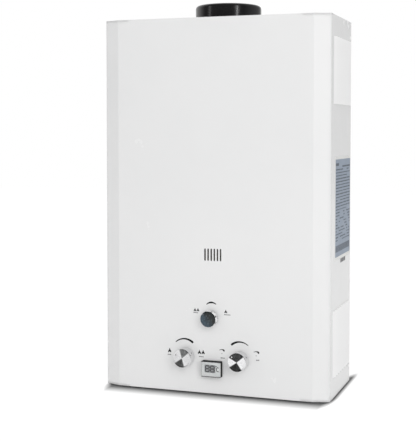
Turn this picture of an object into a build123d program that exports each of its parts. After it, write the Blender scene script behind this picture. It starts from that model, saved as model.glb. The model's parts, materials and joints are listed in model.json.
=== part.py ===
from build123d import *
import math
import os

# Portable tankless gas water heater. Millimetres, +Z up, front towards -Y.
# Origin: middle of the footprint, at the height of the bottom rim.

# ---------------------------------------------------------------- driving sizes
# case
case_width = 440.0
case_height = 700.0
case_depth = 188.0  # wall plane to the flat middle of the front
bevel_width = 30.0  # slanted strip at each side of the front
bevel_depth = 10.0
corner_radius = 4.0
edge_radius = 2.0
sheet = 1.0  # folded steel of cover, back, top and pan
rim_flange = 14.0  # cover edge turned in at top and bottom
slip_gap = 0.5  # play between sheet parts that slide together
pan_height = 44.0  # underside of the recessed bottom pan
frame_flange = 16.0  # edges turned forward on the back plate
keyhole_spread = 120.0  # wall holes left and right of the middle
keyhole_drop = 80.0  # keyholes below the top
keyhole_radius = 8.0
keyhole_rise = 14.0
wall_screw_level = 90.0
wall_screw_radius = 3.5

# screws
screw_radius = 2.0
screw_head_radius = 3.6
cover_head_height = 1.2
machine_head_height = 2.0
screw_length = 8.0
cover_screw_inset = 30.0  # side screws from the rim and from the top

# side louvres
louvre_count = 8
louvre_pitch = 18.0
louvre_rise = 4.0
louvre_run = 13.0
louvre_length = 122.0
louvre_start = 30.0  # first louvre, behind the front face
louvre_margin = 39.0  # louvre fields above the rim and below the top

# front openings
slot_count = 6
slot_pitch = 6.1
slot_length = 23.0
slot_width = 3.0
slot_height = 260.0
sight_margin = 4.0  # hole in the chamber round the row of slots
sight_lap = 6.0  # window past its hole
window_sheet = 0.8

# knobs
main_knob_offset = 53.5
main_knob_height = 66.5
main_knob_radius = 17.5
knob_projection = 22.0  # front face to knob face
season_knob_offset = -3.8
season_knob_height = 142.0
season_knob_radius = 15.0
season_projection = 18.0
knob_wall = 2.0
knob_lift = 1.0  # knob skirt off the front face
cap_thickness = 1.2
cap_border = 0.4
edge_break = 0.6
notch_count = 8  # in the skirt of the season knob
notch_radius = 1.6
notch_turn = 7.5
grub_angle = 30.0  # hole for the grub screw of the main knobs
grub_radius = 1.5
spindle_radius = 4.0
spindle_play = 2.0  # holes of the cover round the spindles
socket_depth = 16.0  # spindle bore in a valve
hub_radius = 6.5
running_gap = 0.05
fit_gap = 0.1

# temperature display
display_offset = 1.0
display_height = 49.3
display_width = 43.0
display_tall = 31.0
display_projection = 11.0
display_wall = 1.0
display_step = 0.6  # seat of the window and clip of the panel
display_corner = 1.5
display_depth = 13.0  # body behind the front face
display_room = 2.0  # notch of the pan behind the display
window_thickness = 1.5
panel_thickness = 2.0
board_thickness = 1.6
board_setback = 4.0  # circuit board behind the front face

# flue
flue_radius = 63.0
flue_rise = 29.0
flue_lip = 6.0
flue_mouth = 52.0
flue_flange = 77.0
spigot_radius = 50.0
flue_wall = 1.5
collar_screw_count = 4
collar_screw_turn = 45.0
hood_rise = 95.0  # hood's slope between the shell and the spigot
spigot_rise = 9.7  # spigot's end above the top of the case

# combustion chamber and heat exchanger
chamber_width = 280.0
chamber_room = 29.0  # chamber to the wall plane and to the front
chamber_wall = 1.0
chamber_corner = 14.0
tray_bottom = 165.0
tray_height = 70.0
tray_flange = 12.0
shell_height = 270.0
tube_radius = 7.0
tube_wall = 1.0
tube_count = 5
tube_edge = 17.0  # first and last tube to the chamber's front and back
tube_drop = 35.0  # tubes below the top of the shell
tube_reach = 12.0  # tube ends past the shell
bend_reach = 15.0  # return bends past the shell
fin_count = 12
fin_height = 56.0
fin_thickness = 0.8
fin_margin = 20.0  # first and last fin to the chamber's sides
coil_turns = 2
coil_rise = 100.0  # start of the coil above the burner tray
coil_room = 15.0  # end of the coil below the tubes
coil_dip = 5.0
entry_bends = [18.0]
exit_bends = [9.0, 12.0]
coil_gap = 0.5
riser_reach = 20.0  # cold riser past the chamber's side
union_drop = 45.0  # union below the coil
union_length = 20.0
union_wall = 4.0
hot_reach = 26.0  # hot pipe past the tube ends
hot_neck = 15.0  # hot fitting above the pan
hot_bends = [14.0, 30.0, 20.0]
sensor_rise = 65.0  # sensor and thermostat above the burner tray
sensor_wall = 2.0
sensor_length = 14.0
sensor_plug = (6.0, 8.0)
stat_flange = (34.0, 10.0)
stat_sheet = 1.5
stat_radius = 9.0
stat_length = 7.0
bracket_sheet = 1.5
bracket_width = 40.0
bracket_foot = 16.0
bracket_tab = 14.0
bracket_spread = 90.0
bracket_rise = 10.0  # above the shell's lower edge
bracket_drop = 20.0  # below its upper edge

# burner
bar_count = 9
bar_pitch = 29.0
bar_width = 9.0
bar_gap = 3.0  # bars to the chamber's walls and to the shell
bar_bend = 24.0
throat_length = 100.0
throat_height = 8.0
port_count = 8
port_length = 5.0
port_depth = 6.0
port_rim = 1.5
jet_rise = 17.0  # jets above the tray's floor
jet_hole = 6.0
mouth_radius = 3.6
mouth_depth = 30.0
nozzle_hex = 5.0
nozzle_radius = 3.0
nozzle_length = (3.5, 4.0)
manifold_depth = 16.0
manifold_height = 16.0
manifold_room = 5.0  # manifold to the burner tray
lug_width = 4.0
tap_radius = 14.0
tap_neck = 20.0
tap_socket = 14.0

# ignition
electrode_middle = 70.0
electrode_pitch = 15.0
electrode_rise = 16.0
electrode_plate = (50.0, 22.0)
ceramic_radius = 3.5
ceramic_shoulder = 1.5
shoulder_length = 5.0
ceramic_nose = 14.0
ceramic_tail = 16.0
wire_radius = 1.0
spark_reach = 20.0  # rods inside the chamber before their bend
spark_hook = (10.0, 8.0)
wire_bend = 4.0
controller_width = 44.0
controller_height = 80.0
controller_depth = 28.0
controller_room = 33.0  # its middle to the case's side
controller_level = 220.0
controller_corner = 3.0
controller_ears = (100.0, 12.0)
ear_sheet = 2.5

# valves
valve_depth = 53.0  # front face to the axes of valves and ports
link_height = 76.0  # axis of the push rod between water and gas valve
gas_width = 58.0
gas_depth = 44.0
gas_height = 44.0
gas_corner = 6.0
gas_body_right = -26.0
boss_length = 12.0
gas_boss_radius = 11.0
water_boss_radius = 10.0
link_boss_radius = 10.0
link_bore = 22.0
riser_boss_radius = 12.0
riser_boss_height = 4.0
riser_runs = (24.0, 50.0)
riser_bend = 18.0
membrane_radius = 28.0
membrane_face = 36.0  # flange of the water valve, from the middle
membrane_thickness = 1.5
flange_length = 6.0
barrel_radius = 18.0
barrel_reach = 8.0  # barrel past the drain port
cover_length = 12.5
cover_hollow = 9.5
cover_rim = 8.0
neck_length = 12.0
neck_radius = 9.0
screw_count = 6
screw_rim = 4.0  # ring of screws inside the flange's edge
thread_depth = 5.0
rod_radius = 3.0
rod_gap = 0.3
rod_entry = 4.0  # rod's end inside the gas valve
plate_radius = 16.0
plate_sheet = 1.5
trip_place = 0.0  # right face of the rod's collar
trip_width = 4.0
trip_radius = 6.5
pivot_rise = 16.0  # lever's pin above the rod's axis
pin_radius = 1.0
eye_radius = 1.8
lever_sheet = 1.0
lever_length = 12.0
switch_rise = 12.0  # switch above the rod's axis
switch_width = 16.0
switch_height = 15.0
switch_room = 4.0  # lever's pin to the switch
ear_height = 7.0
ear_width = 2.0

# bottom fittings
thread_radius = 10.45
fitting_bore = 7.0
fitting_end = 6.0  # lower end of each fitting above the rim
gas_port = -62.0
cold_port = 66.0
hot_port = -135.0
drain_port = 94.0
washer_thickness = 2.0
washer_radius = 16.0
nut_radius = 16.0
nut_height = 8.0
seat_radius = 15.0  # collar of a fitting on the pan
seat_height = 3.0
filter_length = 30.0
filter_wall = 0.9
filter_start = 4.0
port_block = 20.0
drain_block = 16.0
neck_shift = 8.0  # cold outlet of the water valve, left of the drain
neck_rise = 24.0
neck_block = 14.0
outlet_radius = 11.0
cold_runs = (35.0, 50.0)
cold_bend = 20.0
plug_radius = 6.8
plug_play = 0.7
plug_low = 30.0
plug_stem = 5.0
plug_rise = 7.0  # drain block above the pan
plug_stem_length = 9.0
plug_socket = 10.0
drain_radius = 8.0
wing_radius = 3.2
wing_width = 2.0
wing_length = 10.0

# battery box for two D cells
battery_room = 55.0  # its middle to the case's side
cell_width = 74.0
cell_depth = 38.0
cell_height = 66.0
box_wall = 2.0
box_flange = 2.0
flange_lap = (4.0, 3.0)
lid_thickness = 2.4
lid_lap = 1.0
rail_wall = 3.5
rail_lip = 3.0
rail_sheet = 1.5
rib_count = 4
rib_pitch = 4.0
rib_size = (24.0, 1.5)
rib_height = 1.2
contact_size = (16.0, 20.0)
contact_sheet = 0.8
contact_radius = 6.0
contact_height = 3.0
contact_taper = 20.0

# ---------------------------------------------------------------- derived places
half_width = case_width / 2
front_y = (knob_projection - case_depth) / 2
back_y = front_y + case_depth
shoulder_y = front_y + bevel_depth
inner_back = back_y - sheet
middle_y = front_y + case_depth / 2
front_plane = Plane.XZ.offset(-front_y)
pan_top = pan_height + sheet
top_level = case_height - sheet
seat_top = pan_top + seat_height
nut_top = pan_height - washer_thickness
nut_low = nut_top - nut_height
valve_y = front_y + valve_depth
chamber_depth = case_depth - 2 * chamber_room
shell_bottom = tray_bottom + tray_height
shell_top = shell_bottom + shell_height
tube_height = shell_top - tube_drop
tube_pitch = (chamber_depth - 2 * tube_edge) / (tube_count - 1)
coil_bottom = shell_bottom + coil_rise
coil_pitch = (tube_height - coil_room - coil_bottom) / coil_turns
sensor_level = shell_bottom + sensor_rise
jet_height = tray_bottom + jet_rise
bar_length = chamber_depth - 2 * bar_gap
bar_height = tray_height - chamber_wall - bar_gap
battery_x = half_width - battery_room
chamber_front = middle_y - chamber_depth / 2
chamber_back = middle_y + chamber_depth / 2
chamber_side = chamber_width / 2
tube_rows = [middle_y + (i - (tube_count - 1) / 2) * tube_pitch for i in range(tube_count)]
bar_places = [(i - (bar_count - 1) / 2) * bar_pitch for i in range(bar_count)]
jet_plane = Plane.XZ.offset(-chamber_front)
keyhole_places = [(side * keyhole_spread, case_height - keyhole_drop) for side in (-1, 1)]
wall_screw_places = [(side * keyhole_spread, wall_screw_level) for side in (-1, 1)]
cover_screw_levels = (cover_screw_inset, case_height - cover_screw_inset)
cover_screw_y = inner_back - frame_flange / 2
collar_screw_ring = (flue_radius + flue_flange) / 2
electrode_level = shell_bottom + electrode_rise
electrode_places = [(electrode_middle + i * electrode_pitch, electrode_level) for i in (-1, 0, 1)]
sight_width = (slot_count - 1) * slot_pitch + slot_width + 2 * sight_margin
sight_tall = slot_length + 2 * sight_margin

os.makedirs("parts", exist_ok=True)
finished = []


def finish(builder, name):
    """Label a finished piece and write its STEP file."""
    builder.part.label = name
    export_step(builder.part, f"parts/{name}.step")
    finished.append(name)


def case_outline(inset=0.0, back=back_y):
    """Plan outline of the case, moved inward by inset and closed at y = back."""
    turn = math.atan2(bevel_depth, bevel_width)
    side = half_width - inset
    crest = half_width - bevel_width - inset * math.tan(turn / 2)
    shoulder = shoulder_y + inset * math.tan((math.pi / 2 - turn) / 2)
    with BuildSketch() as outline:
        with BuildLine():
            Polyline(
                (-side, back),
                (-side, shoulder),
                (-crest, front_y + inset),
                (crest, front_y + inset),
                (side, shoulder),
                (side, back),
                close=True,
            )
        make_face()
        if inset < corner_radius:
            fillet(outline.vertices().group_by(Axis.Y)[1], corner_radius - inset)
        if inset < edge_radius:
            fillet(outline.vertices().group_by(Axis.Y)[0], edge_radius - inset)
    return outline.sketch


def chamber_outline(inset=0.0):
    """Plan outline of the combustion chamber, moved inward by inset."""
    with BuildSketch() as outline:
        RectangleRounded(
            chamber_width - 2 * inset, chamber_depth - 2 * inset, chamber_corner - inset
        )
    return outline.sketch


def pipe(points, radii):
    """Bent tube through the given points."""
    with BuildPart() as tube:
        with BuildLine() as route:
            FilletPolyline(*points, radius=radii)
        with BuildSketch(Plane(origin=route.line @ 0, z_dir=route.line % 0)):
            Circle(tube_radius)
            Circle(tube_radius - tube_wall, mode=Mode.SUBTRACT)
        sweep()
    return tube


# ---------------------------------------------------------------- case
with BuildPart() as front_cover:
    with BuildSketch():
        add(case_outline())
        add(case_outline(sheet), mode=Mode.SUBTRACT)
        with Locations((0, back_y)):
            Rectangle(case_width - 2 * sheet, 4 * sheet, mode=Mode.SUBTRACT)
    extrude(amount=case_height)
    with BuildSketch(Plane.XY, Plane.XY.offset(top_level)):
        add(case_outline(sheet / 2, inner_back))
        add(case_outline(rim_flange, inner_back), mode=Mode.SUBTRACT)
    extrude(amount=sheet)
    # louvres: hoods raised towards the rear, open at their rear edge
    slope = math.atan2(louvre_rise, louvre_run)
    first = front_y + louvre_start
    crown = half_width + louvre_rise
    lining = half_width - sheet * math.cos(slope)
    hood = [
        (half_width - sheet / 2, first),
        (half_width, first),
        (crown, first + louvre_run),
        (half_width - sheet / 2, first + louvre_run),
    ]
    start = first + sheet * math.sin(slope)
    throat = [
        (half_width - 2 * sheet, start),
        (lining, start),
        (lining + (first + louvre_run - start) * math.tan(slope), first + louvre_run),
        (half_width - 2 * sheet, first + louvre_run),
    ]
    places = [(0, i * louvre_pitch) for i in range(louvre_count)]
    fields = (louvre_margin, case_height - louvre_margin - louvre_length)
    for level in fields:
        with BuildSketch(Plane.XY.offset(level)):
            with Locations(*places):
                Polygon(*hood, align=None)
            mirror(about=Plane.YZ)
        extrude(amount=louvre_length)
        with BuildSketch(Plane.XY.offset(level + sheet)):
            with Locations(*places):
                Polygon(*throat, align=None)
            mirror(about=Plane.YZ)
        extrude(amount=louvre_length - 2 * sheet, mode=Mode.SUBTRACT)
    with BuildSketch(front_plane):
        with Locations((0, slot_height)):
            with GridLocations(slot_pitch, 0, slot_count, 1):
                SlotOverall(slot_length, slot_width, rotation=90)
        with Locations((-main_knob_offset, main_knob_height), (main_knob_offset, main_knob_height)):
            Circle(spindle_radius + spindle_play)
        with Locations((season_knob_offset, season_knob_height)):
            Circle(spindle_radius + spindle_play)
        with Locations((display_offset, display_height)):
            Rectangle(
                display_width - 2 * display_wall + 2 * fit_gap,
                display_tall - 2 * display_wall + 2 * fit_gap,
            )
    extrude(amount=-3 * sheet, mode=Mode.SUBTRACT)
    with BuildSketch(Plane.YZ.offset(-half_width)):
        with Locations(*[(cover_screw_y, level) for level in cover_screw_levels]):
            Circle(screw_radius + fit_gap)
    extrude(amount=case_width, mode=Mode.SUBTRACT)
finish(front_cover, "front_cover")

with BuildPart() as back_plate:
    plate_half = half_width - sheet
    with BuildSketch(Plane.XZ.offset(-back_y)):
        with Locations((0, case_height / 2)):
            Rectangle(2 * plate_half, case_height)
        with Locations(*keyhole_places):
            Circle(keyhole_radius, mode=Mode.SUBTRACT)
            with Locations((0, keyhole_rise / 2)):
                SlotCenterToCenter(keyhole_rise, 2 * wall_screw_radius, rotation=90, mode=Mode.SUBTRACT)
        with Locations(*wall_screw_places):
            Circle(wall_screw_radius, mode=Mode.SUBTRACT)
    extrude(amount=sheet)
    with BuildSketch(Plane.XY.offset(sheet)):
        for side in (-1, 1):
            with Locations((side * (plate_half - sheet / 2), inner_back - frame_flange / 2)):
                Rectangle(sheet, frame_flange)
    extrude(amount=case_height - 2 * sheet)
    with BuildSketch():
        with Locations((0, inner_back - frame_flange / 2)):
            Rectangle(case_width - 2 * rim_flange - 2 * slip_gap, frame_flange)
    extrude(amount=sheet)
    with BuildSketch(Plane.YZ.offset(-half_width)):
        with Locations(*[(cover_screw_y, level) for level in cover_screw_levels]):
            Circle(screw_radius + fit_gap)
    extrude(amount=case_width, mode=Mode.SUBTRACT)
finish(back_plate, "back_plate")

with BuildPart() as top_plate:
    with BuildSketch(Plane.XY.offset(top_level - sheet)):
        add(case_outline(2 * sheet + slip_gap, inner_back))
        with Locations((0, middle_y)):
            Circle(spigot_radius + slip_gap, mode=Mode.SUBTRACT)
            with PolarLocations(collar_screw_ring, collar_screw_count, start_angle=collar_screw_turn):
                Circle(screw_radius + fit_gap, mode=Mode.SUBTRACT)
    extrude(amount=sheet)
    with BuildSketch(Plane.XY.offset(top_level - sheet)):
        with Locations((0, inner_back - sheet / 2)):
            Rectangle(case_width - 4 * rim_flange, sheet)
    extrude(amount=-rim_flange)
finish(top_plate, "top_plate")

ports = [(gas_port, valve_y), (cold_port, valve_y), (hot_port, valve_y)]
with BuildPart() as bottom_pan:
    with BuildSketch(Plane.XY.offset(pan_height)):
        add(case_outline(2 * sheet + slip_gap, inner_back))
        with Locations(*ports):
            Circle(thread_radius + slip_gap, mode=Mode.SUBTRACT)
        with Locations((drain_port, valve_y)):
            Circle(plug_radius + plug_play, mode=Mode.SUBTRACT)
        with Locations((battery_x, valve_y)):
            Rectangle(
                cell_width + 2 * box_wall + 2 * fit_gap,
                cell_depth + 2 * box_wall + 2 * fit_gap,
                mode=Mode.SUBTRACT,
            )
        with Locations((display_offset, front_y)):
            Rectangle(display_width, 2 * (display_depth + display_room), mode=Mode.SUBTRACT)
    extrude(amount=sheet)
    with BuildSketch(Plane.XY.offset(pan_top)):
        with Locations((0, inner_back - sheet / 2)):
            Rectangle(case_width - 4 * rim_flange, sheet)
    extrude(amount=rim_flange)
finish(bottom_pan, "bottom_pan")

screw_planes = [
    Plane(origin=(side * half_width, cover_screw_y, level), z_dir=(side, 0, 0))
    for side in (-1, 1)
    for level in cover_screw_levels
]
with BuildPart(*screw_planes) as cover_screws:
    with BuildSketch(*screw_planes):
        Circle(screw_head_radius)
    extrude(amount=cover_head_height)
    with BuildSketch(*screw_planes):
        Circle(screw_radius)
    extrude(amount=-screw_length)
finish(cover_screws, "cover_screws")

# ---------------------------------------------------------------- flue
collar_top = case_height + flue_rise
with BuildPart() as flue_collar:
    with BuildSketch(Plane.XZ.offset(-middle_y)) as collar_section:
        with BuildLine():
            Polyline(
                (flue_flange, top_level),
                (flue_flange, top_level + flue_wall),
                (flue_radius, top_level + flue_wall),
                (flue_radius, collar_top),
                (flue_mouth, collar_top),
                (flue_mouth, collar_top - flue_wall),
                (flue_radius - flue_wall, collar_top - flue_wall),
                (flue_radius - flue_wall, top_level),
                close=True,
            )
        make_face()
        outer = Vector(flue_radius, collar_top)
        fillet(collar_section.vertices().sort_by_distance(outer)[0], flue_lip)
        inner = Vector(flue_radius - flue_wall, collar_top - flue_wall)
        fillet(collar_section.vertices().sort_by_distance(inner)[0], flue_lip - flue_wall)
    revolve(axis=Axis((0, middle_y, 0), (0, 0, 1)))
    with BuildSketch(Plane((0, middle_y, top_level))):
        with PolarLocations(collar_screw_ring, collar_screw_count, start_angle=collar_screw_turn):
            Circle(screw_radius + fit_gap)
    extrude(amount=flue_wall, mode=Mode.SUBTRACT)
finish(flue_collar, "flue_collar")

collar_level = Plane((0, middle_y, top_level + flue_wall))
with BuildPart() as collar_screws:
    with BuildSketch(collar_level):
        with PolarLocations(collar_screw_ring, collar_screw_count, start_angle=collar_screw_turn):
            Circle(screw_head_radius)
    extrude(amount=machine_head_height)
    with BuildSketch(collar_level):
        with PolarLocations(collar_screw_ring, collar_screw_count, start_angle=collar_screw_turn):
            Circle(screw_radius)
    extrude(amount=-screw_length)
finish(collar_screws, "collar_screws")

hood_waist = shell_top + hood_rise
with BuildPart() as flue_hood:
    for trim, mode in ((0.0, Mode.ADD), (chamber_wall, Mode.SUBTRACT)):
        with BuildSketch(Plane((0, middle_y, shell_top))):
            add(chamber_outline(trim))
        with BuildSketch(Plane((0, middle_y, hood_waist))):
            Circle(spigot_radius - trim)
        loft(mode=mode)
    with BuildSketch(Plane((0, middle_y, hood_waist))):
        Circle(spigot_radius)
        Circle(spigot_radius - chamber_wall, mode=Mode.SUBTRACT)
    extrude(amount=case_height + spigot_rise - hood_waist)
finish(flue_hood, "flue_hood")

# ---------------------------------------------------------------- heat exchanger
with BuildPart() as exchanger_shell:
    with BuildSketch(Plane((0, middle_y, shell_bottom))):
        add(chamber_outline())
        add(chamber_outline(chamber_wall), mode=Mode.SUBTRACT)
    extrude(amount=shell_top - shell_bottom)
    with BuildSketch(Plane.YZ.offset(-chamber_side)):
        with Locations(*[(y, tube_height) for y in tube_rows]):
            Circle(tube_radius + fit_gap)
    extrude(amount=chamber_width, mode=Mode.SUBTRACT)
    with BuildSketch(jet_plane):
        with Locations((0, slot_height)):
            Rectangle(sight_width, sight_tall)
        with Locations(*electrode_places):
            Circle(ceramic_radius + fit_gap)
    extrude(amount=-2 * chamber_wall, mode=Mode.SUBTRACT)
finish(exchanger_shell, "exchanger_shell")

fin_span = chamber_width - 2 * fin_margin
with BuildPart() as exchanger_fins:
    fin_planes = [
        Plane.YZ.offset(-fin_span / 2 + i * fin_span / (fin_count - 1)) for i in range(fin_count)
    ]
    with BuildSketch(*fin_planes):
        with Locations((middle_y, tube_height)):
            Rectangle(chamber_depth - 2 * chamber_wall - 2 * fit_gap, fin_height)
        with Locations(*[(y, tube_height) for y in tube_rows]):
            Circle(tube_radius + fit_gap, mode=Mode.SUBTRACT)
    extrude(amount=fin_thickness)
finish(exchanger_fins, "exchanger_fins")

tube_end = chamber_side + tube_reach
bend_end = chamber_side + bend_reach
serpentine = [(tube_end, tube_rows[0], tube_height)]
for row in range(tube_count - 1):
    side = -1 if row % 2 == 0 else 1
    serpentine.append((side * bend_end, tube_rows[row], tube_height))
    serpentine.append((side * bend_end, tube_rows[row + 1], tube_height))
serpentine.append((-tube_end, tube_rows[-1], tube_height))
exchanger_tubes = pipe(serpentine, tube_pitch / 2 - fit_gap)
finish(exchanger_tubes, "exchanger_tubes")

# coil wound round the shell, rising from the cold riser to the first tube
wrap_x = chamber_side + tube_radius + coil_gap
wrap_y = chamber_depth / 2 + tube_radius + coil_gap
corners = [
    (wrap_x, middle_y + wrap_y),
    (-wrap_x, middle_y + wrap_y),
    (-wrap_x, middle_y - wrap_y),
    (wrap_x, middle_y - wrap_y),
]
riser_x = chamber_side + riser_reach
riser_top = coil_bottom - union_drop
coil_route = [(riser_x, valve_y, riser_top), (riser_x, valve_y, coil_bottom - 2 * coil_dip)]
for i in range(4 * coil_turns):
    x, y = corners[i % 4]
    coil_route.append((x, y, coil_bottom + i * coil_pitch / 4))
inlet_x = tube_end + riser_reach
coil_route.append((inlet_x, tube_rows[0], coil_bottom + coil_turns * coil_pitch - coil_dip))
coil_route.append((inlet_x, tube_rows[0], tube_height))
coil_route.append((tube_end, tube_rows[0], tube_height))
wrap_radius = chamber_corner + tube_radius + coil_gap
coil_radii = entry_bends + [wrap_radius] * (4 * coil_turns) + exit_bends
water_coil = pipe(coil_route, coil_radii)
finish(water_coil, "water_coil")

pan_inlet = link_height + neck_rise
neck_x = drain_port - neck_shift
cold_pipe = pipe(
    [
        (neck_x, valve_y, pan_inlet),
        (neck_x, valve_y, pan_inlet + cold_runs[0]),
        (riser_x, valve_y, pan_inlet + cold_runs[1]),
        (riser_x, valve_y, riser_top),
    ],
    cold_bend,
)
finish(cold_pipe, "cold_pipe")

with BuildPart() as coil_union:
    with BuildSketch(Plane((riser_x, valve_y, riser_top - union_length / 2))):
        RegularPolygon(tube_radius + union_wall, 6)
        Circle(tube_radius + fit_gap, mode=Mode.SUBTRACT)
    extrude(amount=union_length)
finish(coil_union, "coil_union")

hot_x = -tube_end - hot_reach
hot_top = pan_top + hot_neck
hot_pipe = pipe(
    [
        (-tube_end, tube_rows[-1], tube_height),
        (hot_x, tube_rows[-1], tube_height),
        (hot_x, tube_rows[-1], hot_top + 2 * cold_runs[0]),
        (hot_port, valve_y, hot_top + cold_runs[0]),
        (hot_port, valve_y, hot_top),
    ],
    hot_bends,
)
finish(hot_pipe, "hot_pipe")

plug_y = tube_rows[-1] - tube_radius - sensor_plug[1] / 2
with BuildPart() as outlet_sensor:
    with BuildSketch(Plane((hot_x, tube_rows[-1], sensor_level))):
        Circle(tube_radius + sensor_wall)
        with Locations((0, plug_y - tube_rows[-1])):
            Rectangle(*sensor_plug)
        Circle(tube_radius + fit_gap, mode=Mode.SUBTRACT)
    extrude(amount=sensor_length)
finish(outlet_sensor, "outlet_sensor")

stat_face = chamber_side + stat_sheet
with BuildPart() as overheat_thermostat:
    with BuildSketch(Plane.YZ.offset(-chamber_side)):
        with Locations((middle_y, sensor_level)):
            SlotOverall(*stat_flange)
    extrude(amount=-stat_sheet)
    with BuildSketch(Plane.YZ.offset(-stat_face)):
        with Locations((middle_y, sensor_level)):
            Circle(stat_radius)
    extrude(amount=-stat_length)
finish(overheat_thermostat, "overheat_thermostat")

with BuildPart() as chamber_brackets:
    for level in (shell_bottom + bracket_rise, shell_top - bracket_drop):
        step = level + bracket_foot
        for x in (-bracket_spread, bracket_spread):
            with BuildSketch(Plane.YZ.offset(x - bracket_width / 2)):
                with BuildLine():
                    Polyline(
                        (chamber_back, level),
                        (chamber_back, step),
                        (inner_back - bracket_sheet, step),
                        (inner_back - bracket_sheet, step + bracket_tab),
                        (inner_back, step + bracket_tab),
                        (inner_back, step - bracket_sheet),
                        (chamber_back + bracket_sheet, step - bracket_sheet),
                        (chamber_back + bracket_sheet, level),
                        close=True,
                    )
                make_face()
            extrude(amount=bracket_width)
finish(chamber_brackets, "chamber_brackets")

with BuildPart() as sight_window:
    with BuildSketch(jet_plane):
        with Locations((0, slot_height)):
            Rectangle(sight_width + 2 * sight_lap, sight_tall + 2 * sight_lap)
    extrude(amount=window_sheet)
finish(sight_window, "sight_window")

# ---------------------------------------------------------------- burner
with BuildPart() as burner_tray:
    with BuildSketch(Plane((0, middle_y, tray_bottom))):
        add(chamber_outline())
        add(chamber_outline(chamber_wall), mode=Mode.SUBTRACT)
    extrude(amount=shell_bottom - tray_bottom)
    with BuildSketch(Plane((0, middle_y, tray_bottom))):
        add(chamber_outline(chamber_wall / 2))
        add(chamber_outline(tray_flange), mode=Mode.SUBTRACT)
    extrude(amount=chamber_wall)
    with BuildSketch(jet_plane):
        with Locations(*[(x, jet_height) for x in bar_places]):
            Circle(jet_hole)
    extrude(amount=-2 * chamber_wall, mode=Mode.SUBTRACT)
finish(burner_tray, "burner_tray")

# each bar is a pressed J: a venturi below, turned up at the rear under the flame ports
bar_seat = tray_bottom + chamber_wall
bar_front = middle_y - bar_length / 2
bar_top = bar_seat + bar_height
bar_planes = [Plane.YZ.offset(x - bar_width / 2) for x in bar_places]
throat_y = bar_front + throat_length / 2 - bar_gap * 2
with BuildPart() as burner_bars:
    with BuildSketch(*bar_planes):
        with Locations((middle_y, bar_seat + bar_height / 2)):
            Rectangle(bar_length, bar_height)
        with Locations((throat_y, bar_seat + bar_height / 2)):
            SlotOverall(throat_length, throat_height, mode=Mode.SUBTRACT)
    extrude(amount=bar_width)
    rear_low = burner_bars.edges().filter_by(Axis.X).group_by(Axis.Z)[0].sort_by(Axis.Y)
    fillet(rear_low[-bar_count:], bar_bend)
    with BuildSketch(Plane.XZ.offset(-bar_front)):
        with Locations(*[(x, jet_height) for x in bar_places]):
            Circle(mouth_radius)
    extrude(amount=-mouth_depth, mode=Mode.SUBTRACT)
    with BuildSketch(Plane.XY.offset(bar_top)):
        for x in bar_places:
            with Locations((x, middle_y)):
                with GridLocations(0, bar_length / port_count, 1, port_count):
                    Rectangle(bar_width - 2 * port_rim, port_length)
    extrude(amount=-port_depth, mode=Mode.SUBTRACT)
finish(burner_bars, "burner_bars")

manifold_back = chamber_front - manifold_room
manifold_y = manifold_back - manifold_depth / 2
manifold_low = jet_height - manifold_height / 2
lug_place = chamber_side - chamber_corner - lug_width / 2
with BuildPart() as gas_manifold:
    with BuildSketch(Plane.XY.offset(manifold_low)):
        with Locations((0, manifold_y)):
            Rectangle(chamber_width - 2 * chamber_corner, manifold_depth)
        for side in (-1, 1):
            with Locations((side * lug_place, manifold_back + manifold_room / 2)):
                Rectangle(lug_width, manifold_room)
    extrude(amount=manifold_height)
    with BuildSketch(Plane.XZ.offset(-manifold_back)):
        with Locations((season_knob_offset, season_knob_height)):
            Circle(tap_radius)
        with Locations((season_knob_offset, (season_knob_height + manifold_low) / 2)):
            Rectangle(tap_neck, manifold_low - season_knob_height)
    extrude(amount=manifold_depth)
    with BuildSketch(Plane.XZ.offset(-manifold_back + manifold_depth)):
        with Locations((season_knob_offset, season_knob_height)):
            Circle(spindle_radius + running_gap)
    extrude(amount=-tap_socket, mode=Mode.SUBTRACT)
finish(gas_manifold, "gas_manifold")

with BuildPart() as gas_injectors:
    with BuildSketch(Plane.XZ.offset(-manifold_back)):
        with Locations(*[(x, jet_height) for x in bar_places]):
            RegularPolygon(nozzle_hex, 6)
    extrude(amount=-nozzle_length[0])
    with BuildSketch(Plane.XZ.offset(-manifold_back - nozzle_length[0])):
        with Locations(*[(x, jet_height) for x in bar_places]):
            Circle(nozzle_radius)
    extrude(amount=-nozzle_length[1])
finish(gas_injectors, "gas_injectors")

with BuildPart() as electrode_bracket:
    with BuildSketch(jet_plane):
        with Locations(electrode_places[1]):
            Rectangle(*electrode_plate)
        with Locations(*electrode_places):
            Circle(ceramic_radius + fit_gap, mode=Mode.SUBTRACT)
    extrude(amount=bracket_sheet)
finish(electrode_bracket, "electrode_bracket")

shoulder_plane = Plane.XZ.offset(-chamber_front + bracket_sheet)
with BuildPart() as electrode_ceramics:
    with BuildSketch(shoulder_plane):
        with Locations(*electrode_places):
            Circle(ceramic_radius + ceramic_shoulder)
    extrude(amount=shoulder_length)
    with BuildSketch(shoulder_plane.offset(-ceramic_nose)):
        with Locations(*electrode_places):
            Circle(ceramic_radius)
    extrude(amount=ceramic_nose + ceramic_tail)
    with BuildSketch(shoulder_plane.offset(ceramic_tail)):
        with Locations(*electrode_places):
            Circle(wire_radius + fit_gap)
    extrude(amount=-(ceramic_nose + ceramic_tail), mode=Mode.SUBTRACT)
finish(electrode_ceramics, "electrode_ceramics")

rod_tail = chamber_front - bracket_sheet - ceramic_tail - wire_radius
rod_turn = chamber_front + spark_reach
hook_y, hook_z = spark_hook
with BuildPart() as electrode_rods:
    for x, z in electrode_places:
        with BuildLine() as route:
            FilletPolyline(
                (x, rod_tail, z), (x, rod_turn, z), (x, rod_turn + hook_y, z - hook_z), radius=wire_bend
            )
        with BuildSketch(Plane(origin=route.line @ 0, z_dir=route.line % 0)):
            Circle(wire_radius)
        sweep()
finish(electrode_rods, "electrode_rods")

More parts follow.
